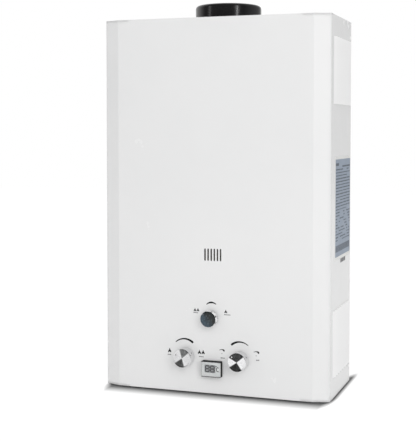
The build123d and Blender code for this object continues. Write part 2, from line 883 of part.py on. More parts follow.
# ---------------------------------------------------------------- gas valve
gas_centre = gas_body_right - gas_width / 2
gas_floor = link_height - gas_height / 2
gas_top = gas_floor + gas_height
gas_front = valve_y - gas_depth / 2
boss_front = gas_front - boss_length
with BuildPart() as gas_valve_body:
    with BuildSketch(Plane.XY.offset(gas_floor)):
        with Locations((gas_centre, valve_y)):
            RectangleRounded(gas_width, gas_depth, gas_corner)
    extrude(amount=gas_height)
    with BuildSketch(Plane.XZ.offset(-gas_front)):
        with Locations((-main_knob_offset, main_knob_height)):
            Circle(gas_boss_radius)
    extrude(amount=boss_length)
    with BuildSketch(Plane.YZ.offset(gas_body_right)):
        with Locations((valve_y, link_height)):
            Circle(link_boss_radius)
    extrude(amount=boss_length)
    with BuildSketch(Plane.XY.offset(gas_floor)):
        with Locations((gas_port, valve_y)):
            Circle(seat_radius)
    extrude(amount=seat_top - gas_floor)
    with BuildSketch(Plane.XY.offset(gas_top)):
        with Locations((-main_knob_offset, valve_y)):
            Circle(riser_boss_radius)
    extrude(amount=riser_boss_height)
    with BuildSketch(Plane.XZ.offset(-boss_front)):
        with Locations((-main_knob_offset, main_knob_height)):
            Circle(spindle_radius + running_gap)
    extrude(amount=-socket_depth, mode=Mode.SUBTRACT)
    with BuildSketch(Plane.YZ.offset(gas_body_right + boss_length)):
        with Locations((valve_y, link_height)):
            Circle(rod_radius + running_gap)
    extrude(amount=-link_bore, mode=Mode.SUBTRACT)
finish(gas_valve_body, "gas_valve_body")

riser_start = gas_top + riser_boss_height
gas_riser = pipe(
    [
        (-main_knob_offset, valve_y, riser_start),
        (-main_knob_offset, valve_y, riser_start + riser_runs[0]),
        (-main_knob_offset, manifold_y, riser_start + riser_runs[1]),
        (-main_knob_offset, manifold_y, manifold_low),
    ],
    riser_bend,
)
finish(gas_riser, "gas_riser")

# ---------------------------------------------------------------- water valve
valve_right = drain_port + barrel_reach
drain_level = pan_top + plug_rise
cover_face = membrane_face - membrane_thickness
cover_left = cover_face - cover_length
neck_left = cover_left - neck_length
screw_ring = membrane_radius - screw_rim
body_plane = Plane.YZ.offset(membrane_face)
with BuildPart() as water_valve_body:
    with BuildSketch(body_plane):
        with Locations((valve_y, link_height)):
            Circle(membrane_radius)
    extrude(amount=flange_length)
    with BuildSketch(body_plane):
        with Locations((valve_y, link_height)):
            Circle(barrel_radius)
    extrude(amount=valve_right - membrane_face)
    with BuildSketch(Plane.XZ.offset(-boss_front)):
        with Locations((main_knob_offset, main_knob_height)):
            Circle(water_boss_radius)
    extrude(amount=-2 * boss_length)
    with BuildSketch(Plane.XY.offset(seat_top)):
        with Locations((cold_port, valve_y)):
            Circle(seat_radius)
    extrude(amount=port_block)
    with BuildSketch(Plane.XY.offset(drain_level)):
        with Locations((drain_port, valve_y)):
            Circle(drain_radius)
    extrude(amount=drain_block)
    with BuildSketch(Plane.XY.offset(pan_inlet)):
        with Locations((neck_x, valve_y)):
            Circle(outlet_radius)
    extrude(amount=-neck_block)
    with BuildSketch(Plane.XZ.offset(-boss_front)):
        with Locations((main_knob_offset, main_knob_height)):
            Circle(spindle_radius + running_gap)
    extrude(amount=-socket_depth, mode=Mode.SUBTRACT)
    with BuildSketch(Plane.XY.offset(drain_level)):
        with Locations((drain_port, valve_y)):
            Circle(plug_stem + fit_gap)
    extrude(amount=plug_socket, mode=Mode.SUBTRACT)
    with BuildSketch(body_plane):
        with Locations((valve_y, link_height)):
            with PolarLocations(screw_ring, screw_count):
                Circle(screw_radius + fit_gap)
    extrude(amount=thread_depth, mode=Mode.SUBTRACT)
finish(water_valve_body, "water_valve_body")

with BuildPart() as diaphragm:
    with BuildSketch(Plane.YZ.offset(cover_face)):
        with Locations((valve_y, link_height)):
            Circle(membrane_radius)
            with PolarLocations(screw_ring, screw_count):
                Circle(screw_radius + fit_gap, mode=Mode.SUBTRACT)
    extrude(amount=membrane_thickness)
finish(diaphragm, "diaphragm")

with BuildPart() as diaphragm_cover:
    with BuildSketch(Plane.YZ.offset(cover_left)):
        with Locations((valve_y, link_height)):
            Circle(membrane_radius)
    extrude(amount=cover_length)
    with BuildSketch(Plane.YZ.offset(neck_left)):
        with Locations((valve_y, link_height)):
            Circle(neck_radius)
    extrude(amount=neck_length)
    with BuildSketch(Plane.YZ.offset(cover_face)):
        with Locations((valve_y, link_height)):
            Circle(membrane_radius - cover_rim)
    extrude(amount=-cover_hollow, mode=Mode.SUBTRACT)
    with BuildSketch(Plane.YZ.offset(neck_left)):
        with Locations((valve_y, link_height)):
            Circle(rod_radius + running_gap)
    extrude(amount=neck_length + cover_length, mode=Mode.SUBTRACT)
    with BuildSketch(Plane.YZ.offset(cover_left)):
        with Locations((valve_y, link_height)):
            with PolarLocations(screw_ring, screw_count):
                Circle(screw_radius + fit_gap)
    extrude(amount=cover_length, mode=Mode.SUBTRACT)
finish(diaphragm_cover, "diaphragm_cover")

with BuildPart() as diaphragm_screws:
    with BuildSketch(Plane.YZ.offset(cover_left)):
        with Locations((valve_y, link_height)):
            with PolarLocations(screw_ring, screw_count):
                Circle(screw_head_radius)
    extrude(amount=-machine_head_height)
    with BuildSketch(Plane.YZ.offset(cover_left)):
        with Locations((valve_y, link_height)):
            with PolarLocations(screw_ring, screw_count):
                Circle(screw_radius)
    extrude(amount=membrane_face + thread_depth - cover_left - fit_gap)
finish(diaphragm_screws, "diaphragm_screws")

# push rod: diaphragm plate, rod and the collar that trips the switch
plate_right = cover_face - rod_gap
plate_left = plate_right - plate_sheet
rod_end = gas_body_right + rod_entry
with BuildPart() as push_rod:
    with BuildSketch(Plane.YZ.offset(plate_right)):
        with Locations((valve_y, link_height)):
            Circle(plate_radius)
    extrude(amount=-plate_sheet)
    with BuildSketch(Plane.YZ.offset(plate_left)):
        with Locations((valve_y, link_height)):
            Circle(rod_radius)
    extrude(amount=rod_end - plate_left)
    with BuildSketch(Plane.YZ.offset(trip_place)):
        with Locations((valve_y, link_height)):
            Circle(trip_radius)
    extrude(amount=-trip_width)
finish(push_rod, "push_rod")

# micro switch on the gas valve's flank, its lever hanging in front of the rod's collar
pivot_x = trip_place - trip_width - rod_gap - lever_sheet / 2
pivot_z = link_height + pivot_rise
switch_floor = link_height + switch_rise
switch_right = pivot_x - switch_room
ear_y = (switch_width - ear_width) / 2
ear_right = pivot_x + eye_radius + rod_gap
with BuildPart() as micro_switch:
    with BuildSketch(Plane.XY.offset(switch_floor)):
        with Locations(((gas_body_right + switch_right) / 2, valve_y)):
            Rectangle(switch_right - gas_body_right, switch_width)
    extrude(amount=switch_height)
    with BuildSketch(Plane.XY.offset(switch_floor)):
        with Locations(((switch_right + ear_right) / 2, valve_y)):
            with Locations((0, -ear_y), (0, ear_y)):
                Rectangle(ear_right - switch_right, ear_width)
    extrude(amount=ear_height)
    with BuildSketch(Plane.XZ.offset(switch_width / 2 - valve_y)):
        with Locations((pivot_x, pivot_z)):
            Circle(pin_radius + running_gap)
    extrude(amount=-switch_width, mode=Mode.SUBTRACT)
finish(micro_switch, "micro_switch")

lever_width = switch_width - 2 * ear_width - 2 * rod_gap
with BuildPart() as switch_lever:
    with BuildSketch(Plane.XZ.offset(switch_width / 2 - valve_y)):
        with Locations((pivot_x, pivot_z)):
            Circle(pin_radius)
    extrude(amount=-switch_width)
    with BuildSketch(Plane.XZ.offset(lever_width / 2 - valve_y)):
        with Locations((pivot_x, pivot_z)):
            Circle(eye_radius)
        with Locations((pivot_x, pivot_z - lever_length / 2)):
            Rectangle(lever_sheet, lever_length)
    extrude(amount=-lever_width)
finish(switch_lever, "switch_lever")


# ---------------------------------------------------------------- bottom fittings
def fitting(x, top):
    """Brass pipe end through the pan: threaded tail, nut, collar and neck."""
    with BuildPart() as body:
        with BuildSketch(Plane((x, valve_y, fitting_end))):
            Circle(thread_radius)
        extrude(amount=top - fitting_end)
        with BuildSketch(Plane((x, valve_y, nut_low))):
            RegularPolygon(nut_radius, 6)
        extrude(amount=nut_height)
        with BuildSketch(Plane((x, valve_y, pan_top))):
            Circle(seat_radius)
        extrude(amount=seat_height)
        with BuildSketch(Plane((x, valve_y, fitting_end))):
            Circle(fitting_bore)
        extrude(amount=top - fitting_end, mode=Mode.SUBTRACT)
    return body


gas_inlet = fitting(gas_port, seat_top)
finish(gas_inlet, "gas_inlet")
cold_inlet = fitting(cold_port, seat_top)
finish(cold_inlet, "cold_inlet")
hot_outlet = fitting(hot_port, hot_top)
finish(hot_outlet, "hot_outlet")

with BuildPart() as fitting_washers:
    with BuildSketch(Plane.XY.offset(nut_top)):
        with Locations(*ports):
            Circle(washer_radius)
            Circle(thread_radius + fit_gap, mode=Mode.SUBTRACT)
    extrude(amount=washer_thickness)
finish(fitting_washers, "fitting_washers")

with BuildPart() as inlet_filter:
    with BuildSketch(Plane((cold_port, valve_y, fitting_end + filter_start))):
        Circle(fitting_bore - fit_gap)
    extrude(amount=filter_length)
    with BuildSketch(Plane((cold_port, valve_y, fitting_end + filter_start))):
        Circle(fitting_bore - fit_gap - filter_wall)
    extrude(amount=filter_length - filter_wall, mode=Mode.SUBTRACT)
finish(inlet_filter, "inlet_filter")

with BuildPart() as drain_plug:
    with BuildSketch(Plane((drain_port, valve_y, plug_low))):
        Circle(plug_radius)
    extrude(amount=drain_level - plug_low)
    with BuildSketch(Plane((drain_port, valve_y, drain_level))):
        Circle(plug_stem)
    extrude(amount=plug_stem_length)
    with BuildSketch(Plane((drain_port, valve_y, plug_low))):
        Circle(wing_radius)
        Rectangle(2 * (plug_radius - wing_width), wing_width)
    extrude(amount=-wing_length)
finish(drain_plug, "drain_plug")

# ---------------------------------------------------------------- battery box
box_plane = Plane((battery_x, valve_y, pan_height))
flange_width = cell_width + 2 * (box_wall + flange_lap[0])
flange_depth = cell_depth + 2 * (box_wall + flange_lap[1])
lid_plane = box_plane.offset(-box_flange - rod_gap / 2)
rail_height = lid_thickness + rod_gap
rail_low = box_flange + rail_height
with BuildPart() as battery_box:
    with BuildSketch(box_plane):
        Rectangle(cell_width + 2 * box_wall, cell_depth + 2 * box_wall)
    extrude(amount=cell_height + box_wall)
    with BuildSketch(box_plane):
        Rectangle(flange_width, flange_depth)
    extrude(amount=-box_flange)
    with BuildSketch(box_plane.offset(-box_flange)):
        with GridLocations(flange_width - rail_wall, 0, 2, 1):
            Rectangle(rail_wall, flange_depth)
    extrude(amount=-rail_height)
    with BuildSketch(box_plane.offset(-rail_low)):
        with GridLocations(flange_width - rail_wall - rail_lip, 0, 2, 1):
            Rectangle(rail_wall + rail_lip, flange_depth)
    extrude(amount=-rail_sheet)
    with BuildSketch(box_plane.offset(-box_flange)):
        Rectangle(cell_width, cell_depth)
    extrude(amount=cell_height + box_flange, mode=Mode.SUBTRACT)
finish(battery_box, "battery_box")

with BuildPart() as battery_lid:
    with BuildSketch(lid_plane):
        Rectangle(cell_width + 2 * lid_lap, flange_depth)
    extrude(amount=-lid_thickness)
    with BuildSketch(lid_plane.offset(-lid_thickness)):
        with GridLocations(0, rib_pitch, 1, rib_count):
            Rectangle(*rib_size)
    extrude(amount=-rib_height)
finish(battery_lid, "battery_lid")

contact_plane = box_plane.offset(cell_height)
with BuildPart() as battery_contacts:
    with BuildSketch(contact_plane):
        with GridLocations(cell_width / 2, 0, 2, 1):
            Rectangle(*contact_size)
    extrude(amount=-contact_sheet)
    with BuildSketch(contact_plane.offset(-contact_sheet)):
        with GridLocations(cell_width / 2, 0, 2, 1):
            Circle(contact_radius)
    extrude(amount=-contact_height, taper=contact_taper)
finish(battery_contacts, "battery_contacts")

# ---------------------------------------------------------------- ignition controller
controller_place = (half_width - controller_room, controller_level)
with BuildPart() as ignition_controller:
    with BuildSketch(Plane.XZ.offset(-inner_back)):
        with Locations(controller_place):
            RectangleRounded(controller_width, controller_height, controller_corner)
    extrude(amount=controller_depth)
    with BuildSketch(Plane.XZ.offset(-inner_back)):
        with Locations(controller_place):
            SlotOverall(*controller_ears, rotation=90)
    extrude(amount=ear_sheet)
finish(ignition_controller, "ignition_controller")

# ---------------------------------------------------------------- display
display_front = front_y - display_projection
face_plane = Plane(origin=(display_offset, display_front, display_height), z_dir=(0, 1, 0), x_dir=(1, 0, 0))
pocket_width = display_width - 2 * display_wall
pocket_tall = display_tall - 2 * display_wall
hollow_width = pocket_width - 2 * display_step
hollow_tall = pocket_tall - 2 * display_step
with BuildPart() as display_housing:
    with BuildSketch(face_plane):
        RectangleRounded(display_width, display_tall, display_corner)
    extrude(amount=display_projection)
    with BuildSketch(face_plane.offset(display_projection)):
        Rectangle(pocket_width, pocket_tall)
    extrude(amount=display_depth)
    with BuildSketch(face_plane):
        Rectangle(pocket_width, pocket_tall)
    extrude(amount=window_thickness + panel_thickness, mode=Mode.SUBTRACT)
    with BuildSketch(face_plane):
        Rectangle(hollow_width, hollow_tall)
    extrude(amount=display_projection + display_depth, mode=Mode.SUBTRACT)
finish(display_housing, "display_housing")

with BuildPart() as display_window:
    with BuildSketch(face_plane):
        Rectangle(pocket_width - 2 * fit_gap, pocket_tall - 2 * fit_gap)
    extrude(amount=window_thickness - fit_gap / 2)
finish(display_window, "display_window")

with BuildPart() as display_panel:
    with BuildSketch(face_plane.offset(window_thickness)):
        Rectangle(pocket_width - 2 * fit_gap, pocket_tall - 2 * fit_gap)
    extrude(amount=panel_thickness)
finish(display_panel, "display_panel")

with BuildPart() as display_board:
    with BuildSketch(face_plane.offset(display_projection + board_setback)):
        Rectangle(hollow_width - 2 * fit_gap, hollow_tall - 2 * fit_gap)
    extrude(amount=board_thickness)
finish(display_board, "display_board")


# ---------------------------------------------------------------- knobs
grub_way = (math.cos(math.radians(grub_angle)), 0, math.sin(math.radians(grub_angle)))


def knob(x, z, radius, projection, notches):
    """Turned knob with a hollow skirt and a hub for its spindle, and the flat cap on its face."""
    base = Plane(origin=(x, front_y, z), z_dir=(0, -1, 0), x_dir=(1, 0, 0))
    seat = projection - cap_thickness
    with BuildPart() as body:
        with BuildSketch(base.offset(knob_lift)):
            Circle(radius)
            if notches:
                with PolarLocations(radius, notches, start_angle=notch_turn):
                    Circle(notch_radius, mode=Mode.SUBTRACT)
        extrude(amount=seat - knob_lift)
        with BuildSketch(base.offset(knob_lift)):
            Circle(radius - knob_wall - notch_radius)
            Circle(hub_radius, mode=Mode.SUBTRACT)
        extrude(amount=seat - knob_lift - knob_wall, mode=Mode.SUBTRACT)
        with BuildSketch(base.offset(knob_lift)):
            Circle(spindle_radius + fit_gap)
        extrude(amount=seat - knob_lift - knob_wall, mode=Mode.SUBTRACT)
        if not notches:
            with BuildSketch(Plane(origin=(x, front_y - projection / 2, z), z_dir=grub_way)):
                Circle(grub_radius)
            extrude(amount=radius, mode=Mode.SUBTRACT)
    with BuildPart() as cap:
        with BuildSketch(base.offset(seat)):
            Circle(radius - cap_border)
        extrude(amount=cap_thickness)
        fillet(cap.faces().sort_by(Axis.Y)[0].edges(), edge_break)
    return body, cap


def spindle(x, z, tail_y, projection):
    """Steel shaft from the valve into the knob's hub."""
    with BuildPart() as shaft:
        with BuildSketch(Plane(origin=(x, tail_y, z), z_dir=(0, -1, 0), x_dir=(1, 0, 0))):
            Circle(spindle_radius)
        extrude(amount=tail_y - front_y + projection - cap_thickness - knob_wall - rod_gap)
    return shaft


main_tail = boss_front + socket_depth - rod_gap
season_tail = manifold_back - manifold_depth + tap_socket - rod_gap
for name, x, z, radius, projection, tail, notches in (
    ("fire", -main_knob_offset, main_knob_height, main_knob_radius, knob_projection, main_tail, 0),
    ("water", main_knob_offset, main_knob_height, main_knob_radius, knob_projection, main_tail, 0),
    (
        "season",
        season_knob_offset,
        season_knob_height,
        season_knob_radius,
        season_projection,
        season_tail,
        notch_count,
    ),
):
    body, cap = knob(x, z, radius, projection, notches)
    finish(body, f"{name}_knob")
    finish(cap, f"{name}_knob_cap")
    finish(spindle(x, z, tail, projection), f"{name}_spindle")

print(f"{len(finished)} pieces written")
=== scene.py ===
import json
import random
from math import atan2, cos, degrees, pi, radians, sin

import bmesh
import bpy
from mathutils import Matrix, Vector


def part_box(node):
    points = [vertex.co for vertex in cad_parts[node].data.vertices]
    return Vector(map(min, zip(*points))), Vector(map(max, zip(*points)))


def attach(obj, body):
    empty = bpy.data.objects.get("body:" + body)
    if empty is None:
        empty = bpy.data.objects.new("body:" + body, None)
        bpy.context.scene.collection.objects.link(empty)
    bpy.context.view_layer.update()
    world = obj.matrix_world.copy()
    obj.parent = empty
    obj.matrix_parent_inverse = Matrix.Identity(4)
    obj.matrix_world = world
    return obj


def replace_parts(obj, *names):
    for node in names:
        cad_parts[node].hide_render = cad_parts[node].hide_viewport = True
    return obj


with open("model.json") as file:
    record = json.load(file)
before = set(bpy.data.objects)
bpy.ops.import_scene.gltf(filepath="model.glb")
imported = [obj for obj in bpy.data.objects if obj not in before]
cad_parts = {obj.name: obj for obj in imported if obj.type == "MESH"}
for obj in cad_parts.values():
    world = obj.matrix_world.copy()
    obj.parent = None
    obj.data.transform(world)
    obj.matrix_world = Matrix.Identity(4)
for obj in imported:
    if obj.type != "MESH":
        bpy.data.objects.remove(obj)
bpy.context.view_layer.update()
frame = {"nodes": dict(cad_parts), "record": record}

# Finishes, printed signs, spun caps, threads, screws and studio of a portable gas water heater.
# Metres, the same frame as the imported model: front towards -Y, wall towards +Y, up +Z.
scene = bpy.context.scene
random.seed(7)
mm = 0.001
print("frame loaded:", len(frame["nodes"]), "nodes")

coverLow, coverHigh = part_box("front_cover")
frontY = coverLow.y
louvreRise = 0.004  # louvres stand out of the side by this
sideX = coverHigh.x - louvreRise


def middleOf(node):
    return [(low + high) / 2 for low, high in zip(*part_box(node))]


def pick(values, names):
    return [values[name] for name in names.split()]


def addObject(name, data):
    thing = bpy.data.objects.new(name, data)
    scene.collection.objects.link(thing)
    return thing


# ---- shader helpers
wiring = {}  # the node tree that these helpers add to, and its shader's inputs


def feed(socket, term):  # a number, a colour or another node's output
    if isinstance(term, (int, float)):
        socket.default_value = term
    elif isinstance(term, tuple):
        socket.default_value = (*term, 1.0) if len(socket.default_value) == 4 else term
    else:
        socket.id_data.links.new(term, socket)


def put(kind, inputs=None, **settings):  # a node, with its inputs by name or number
    node = wiring["tree"].nodes.new("ShaderNode" + kind)
    for key, value in settings.items():
        setattr(node, key, value)
    for key, term in (inputs or {}).items():
        feed(node.inputs[key], term)
    return node


def calc(operation, *terms, clamp=False):
    numbered = dict(enumerate(terms))
    return put("Math", numbered, operation=operation, use_clamp=clamp).outputs[0]


def times(first, second, clamp=False):
    return calc("MULTIPLY", first, second, clamp=clamp)


def vectorCalc(operation, *terms):
    node = put("VectorMath", dict(enumerate(terms)), operation=operation)
    return node.outputs["Value" if operation in ("LENGTH", "DOT_PRODUCT") else "Vector"]


def mixColour(factor, first, second, blendType="MIX"):
    terms = {0: factor, 6: first, 7: second}
    return put("Mix", terms, data_type="RGBA", blend_type=blendType).outputs[2]


def span(value, low, high, newLow=0.0, newHigh=1.0):
    terms = dict(enumerate((value, low, high, newLow, newHigh)))
    return put("MapRange", terms).outputs[0]


def noise(place, scale, detail=2.0, rough=0.5):
    terms = {"Vector": place, "Scale": scale, "Detail": detail, "Roughness": rough}
    return put("TexNoise", terms).outputs["Fac"]


def objectPlace():
    return put("TexCoord").outputs["Object"]


def flatNormal():
    return put("NewGeometry").outputs["Normal"]


def split(vector):
    return put("SeparateXYZ", {0: vector}).outputs


def join(x, y):
    return put("CombineXYZ", {0: x, 1: y}).outputs[0]


def openGroup(name, *outputs, **inputs):  # inputs are numbers, vectors of 3 or colours of 4
    tree = wiring["tree"] = bpy.data.node_groups.new(name, "ShaderNodeTree")
    kinds = {1: "NodeSocketFloat", 3: "NodeSocketVector", 4: "NodeSocketColor"}
    for label, value in inputs.items():
        kind = kinds[len(value) if isinstance(value, tuple) else 1]
        socket = tree.interface.new_socket(name=label, in_out="INPUT", socket_type=kind)
        socket.default_value = value
    for label in outputs:
        kind = kinds[4 if label == "Colour" else 1]
        tree.interface.new_socket(name=label, in_out="OUTPUT", socket_type=kind)
    given, made = (tree.nodes.new("NodeGroup" + side) for side in ("Input", "Output"))
    return given.outputs, made.inputs


# ---- effects that several materials share
# skin of sprayed or powder-coated paint
given, made = openGroup("orangePeel", "Height", Scale=420.0, Fine=0.25)
place = objectPlace()
coarse = noise(place, given["Scale"], 1.5)
fine = noise(place, times(given["Scale"], 4.7))
feed(made["Height"], calc("MULTIPLY_ADD", fine, given["Fine"], coarse))

# slow change of colour over a large surface
grey = (0.8, 0.8, 0.8, 1)
given, made = openGroup("toneDrift", "Colour", Colour=grey, Drift=grey, Scale=6.0, Amount=0.5)
cloud = noise(objectPlace(), given["Scale"], 4.0, 0.6)
mask = times(span(cloud, 0.35, 0.68), given["Amount"])
feed(made["Colour"], mixColour(mask, given["Colour"], given["Drift"]))

# wear along edges, broken up by noise
given, made = openGroup("edgeRub", "Mask", Radius=0.001, Gain=3.0, Break=250.0)
soft = put("Bevel", {"Radius": given["Radius"]}, samples=4)
turn = vectorCalc("DOT_PRODUCT", soft.outputs[0], flatNormal())
rubbed = times(calc("SUBTRACT", 1.0, turn), given["Gain"], clamp=True)
patchy = span(noise(objectPlace(), given["Break"], 3.0), 0.4, 0.6, 0.2, 1.0)
feed(made["Mask"], times(rubbed, patchy, clamp=True))

# long scratches of a brushed or rolled sheet
given, made = openGroup("brushLines", "Lines", Stretch=(1, 1, 1), Scale=300.0)
drawn = vectorCalc("MULTIPLY", objectPlace(), given["Stretch"])
wide = times(noise(drawn, given["Scale"]), 0.5)
thin = noise(drawn, times(given["Scale"], 3.1))
feed(made["Lines"], calc("MULTIPLY_ADD", thin, 0.5, wide))

# rings that a lathe leaves round an upright axis
given, made = openGroup("turnedRings", "Rings", Scale=2500.0, Centre=(0, 0, 0))
arm = vectorCalc("SUBTRACT", objectPlace(), given["Centre"])
along = vectorCalc("DOT_PRODUCT", arm, (0, 0, 1))
reach = calc("POWER", vectorCalc("LENGTH", arm), 2.0)
radius = calc("SQRT", calc("SUBTRACT", reach, calc("POWER", along, 2.0)))
feed(made["Rings"], noise(join(radius, along), given["Scale"]))

# thin dust on what faces up
given, made = openGroup("dust", "Mask", Amount=0.3, Scale=60.0)
upward = span(split(flatNormal())[2], 0.3, 1.0)
cloud = noise(objectPlace(), given["Scale"], 5.0, 0.65)
settled = times(upward, span(cloud, 0.35, 0.75))
feed(made["Mask"], times(settled, given["Amount"], clamp=True))

# crystals of hot-dip zinc
given, made = openGroup("zincSpangle", "Flake", "Height", Scale=180.0)
cells = put("TexVoronoi", {"Vector": objectPlace(), "Scale": given["Scale"]}).outputs
tone = put("SeparateColor", {0: cells["Color"]}).outputs
feed(made["Flake"], tone[0])
feed(made["Height"], calc("MULTIPLY_ADD", tone[1], 0.4, cells["Distance"]))

# fine eroded texture of moulded plastic and castings
given, made = openGroup("mouldSkin", "Height", Scale=1500.0)
place, coarser = objectPlace(), times(given["Scale"], 0.6)
grain = noise(place, given["Scale"], 3.0, 0.7)
pits = put("TexVoronoi", {"Vector": place, "Scale": coarser}).outputs["Distance"]
feed(made["Height"], calc("MULTIPLY_ADD", pits, 0.5, grain))

# handling marks that change the gloss
given, made = openGroup("smudge", "Roughness", Low=0.3, High=0.4, Scale=25.0)
marks = noise(objectPlace(), given["Scale"], 5.0, 0.7)
feed(made["Roughness"], span(marks, 0.3, 0.7, given["Low"], given["High"]))
print("shared effects:", len(bpy.data.node_groups))


# ---- materials
def use(effect, *terms):  # places a shared effect, its sockets in their order
    group = bpy.data.node_groups[effect]
    return put("Group", dict(enumerate(terms)), node_tree=group).outputs


def paint(label, term):
    feed(wiring["shader"][label], term)


def openFinish(name, **plain):
    material = bpy.data.materials.new(name)
    material.use_nodes = True
    tree = wiring["tree"] = material.node_tree
    wiring["shader"] = tree.nodes["Principled BSDF"].inputs
    for label, value in plain.items():
        paint(label.replace("_", " "), value)
    return material


def addBump(height, depth, strength, ground=None):
    bump = put("Bump", {"Height": height, "Distance": depth, "Strength": strength})
    if ground:
        feed(bump.inputs["Normal"], ground)
    paint("Normal", bump.outputs[0])


def makeFinish(name, tone, gloss=None, over=None, rub=None, dust=None, grain=None, **plain):
    material = openFinish(name, **plain)
    body = use("toneDrift", *tone)[0]
    if over:
        body = over(body)
    if rub:
        bared, share, *wear = rub
        worn = times(use("edgeRub", *wear)[0], share)
        body = mixColour(worn, body, bared)
    if dust:
        settled, *cloud = dust
        body = mixColour(use("dust", *cloud)[0], body, settled)
    paint("Base Color", body)
    if gloss:
        paint("Roughness", use("smudge", *gloss)[0])
    if grain:
        effect, terms, depth, strength, *ground = grain
        addBump(use(effect, *terms)[0], depth, strength, *(normal() for normal in ground))
    return material


coat = {  # of white enamel
    "hood": (0.91, 0.91, 0.91),  # paler on the louvre hoods: painted light, so that they read brighter than the side
    "hoodFrom": 0.2202,  # distance from the middle
    "bendRadius": 0.007,  # how softly the long bends at the sides of the front turn
    "bendFrom": 0.165,  # distance from the middle
    "bendDeep": 0.024,  # behind the front face
}


def asideAndDeep():  # distance from the middle plane, and depth
    x, y, _ = split(objectPlace())
    return calc("ABSOLUTE", x), y


# paints the louvre hoods paler than the side wall: painted light on the hoods
def paintHoodLight(colour):
    aside, start = asideAndDeep()[0], coat["hoodFrom"]
    hoods = span(aside, start, start + 0.0004)
    return mixColour(hoods, colour, coat["hood"])


def softBends():  # normal that rounds the long bends only
    aside, behind = asideAndDeep()
    start, deep = coat["bendFrom"], frontY + coat["bendDeep"]
    outward = span(aside, start, start + 0.006)
    share = times(outward, span(behind, deep, deep + 0.003, 1.0, 0.0))
    soft = put("Bevel", {"Radius": coat["bendRadius"]}, samples=8).outputs[0]
    terms = {0: share, 4: flatNormal(), 5: soft}
    return put("Mix", terms, data_type="VECTOR").outputs[1]


zinc = {
    "colour": (0.58, 0.6, 0.62),
    "dark": (0.42, 0.44, 0.46),
    "bloom": ((0.7, 0.71, 0.71), 14.0, 0.5),  # colour, scale, amount
    "crystals": 220.0,
    "gloss": (0.34, 0.5),
    "depth": 2e-5,
}


def makeGalvanised():
    material = openFinish("galvanised", Metallic=1.0)
    flake, height = use("zincSpangle", zinc["crystals"])
    crystals = mixColour(flake, zinc["dark"], zinc["colour"])
    paint("Base Color", use("toneDrift", crystals, *zinc["bloom"])[0])
    paint("Roughness", span(flake, 0.0, 1.0, *zinc["gloss"]))
    addBump(height, zinc["depth"], 0.4)
    return material


collarPaint = {
    "tone": ((0.005, 0.005, 0.0055), (0.009, 0.009, 0.009), 40.0, 0.8),
    "rub": ((0.06, 0.06, 0.06), 0.3, 0.001, 1.5, 400.0),
    "dust": ((0.08, 0.077, 0.074), 0.25, 120.0),
    "gloss": (0.17, 0.24, 60.0),
    "IOR": 1.52,
}


def makeBlackEnamel():  # paint over the rings of the spun collar
    material = makeFinish("blackEnamel", **collarPaint)
    x, y, _ = middleOf("flue_collar")
    rings = use("turnedRings", 900.0, (x, y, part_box("flue_collar")[0].z))[0]
    height = calc("MULTIPLY_ADD", rings, 0.6, use("orangePeel", 900.0, 0.3)[0])
    addBump(height, 2e-5, 0.4)
    return material


sheet = {"tone": ((0.58, 0.57, 0.55), (0.45, 0.38, 0.3), 18.0, 0.4), "Metallic": 1.0}


def makeStainless():
    material = makeFinish("stainless", **sheet)
    lines = use("brushLines", (0.04, 1, 1), 700.0)[0]
    paint("Roughness", span(lines, 0.3, 0.7, 0.2, 0.42))
    addBump(lines, 1e-5, 0.4)
    return material


def heatStain(colour):
    heat = span(noise(objectPlace(), 9.0, 4.0), 0.5, 0.7, 0.0, 0.6)
    return mixColour(heat, colour, (0.3, 0.24, 0.26))


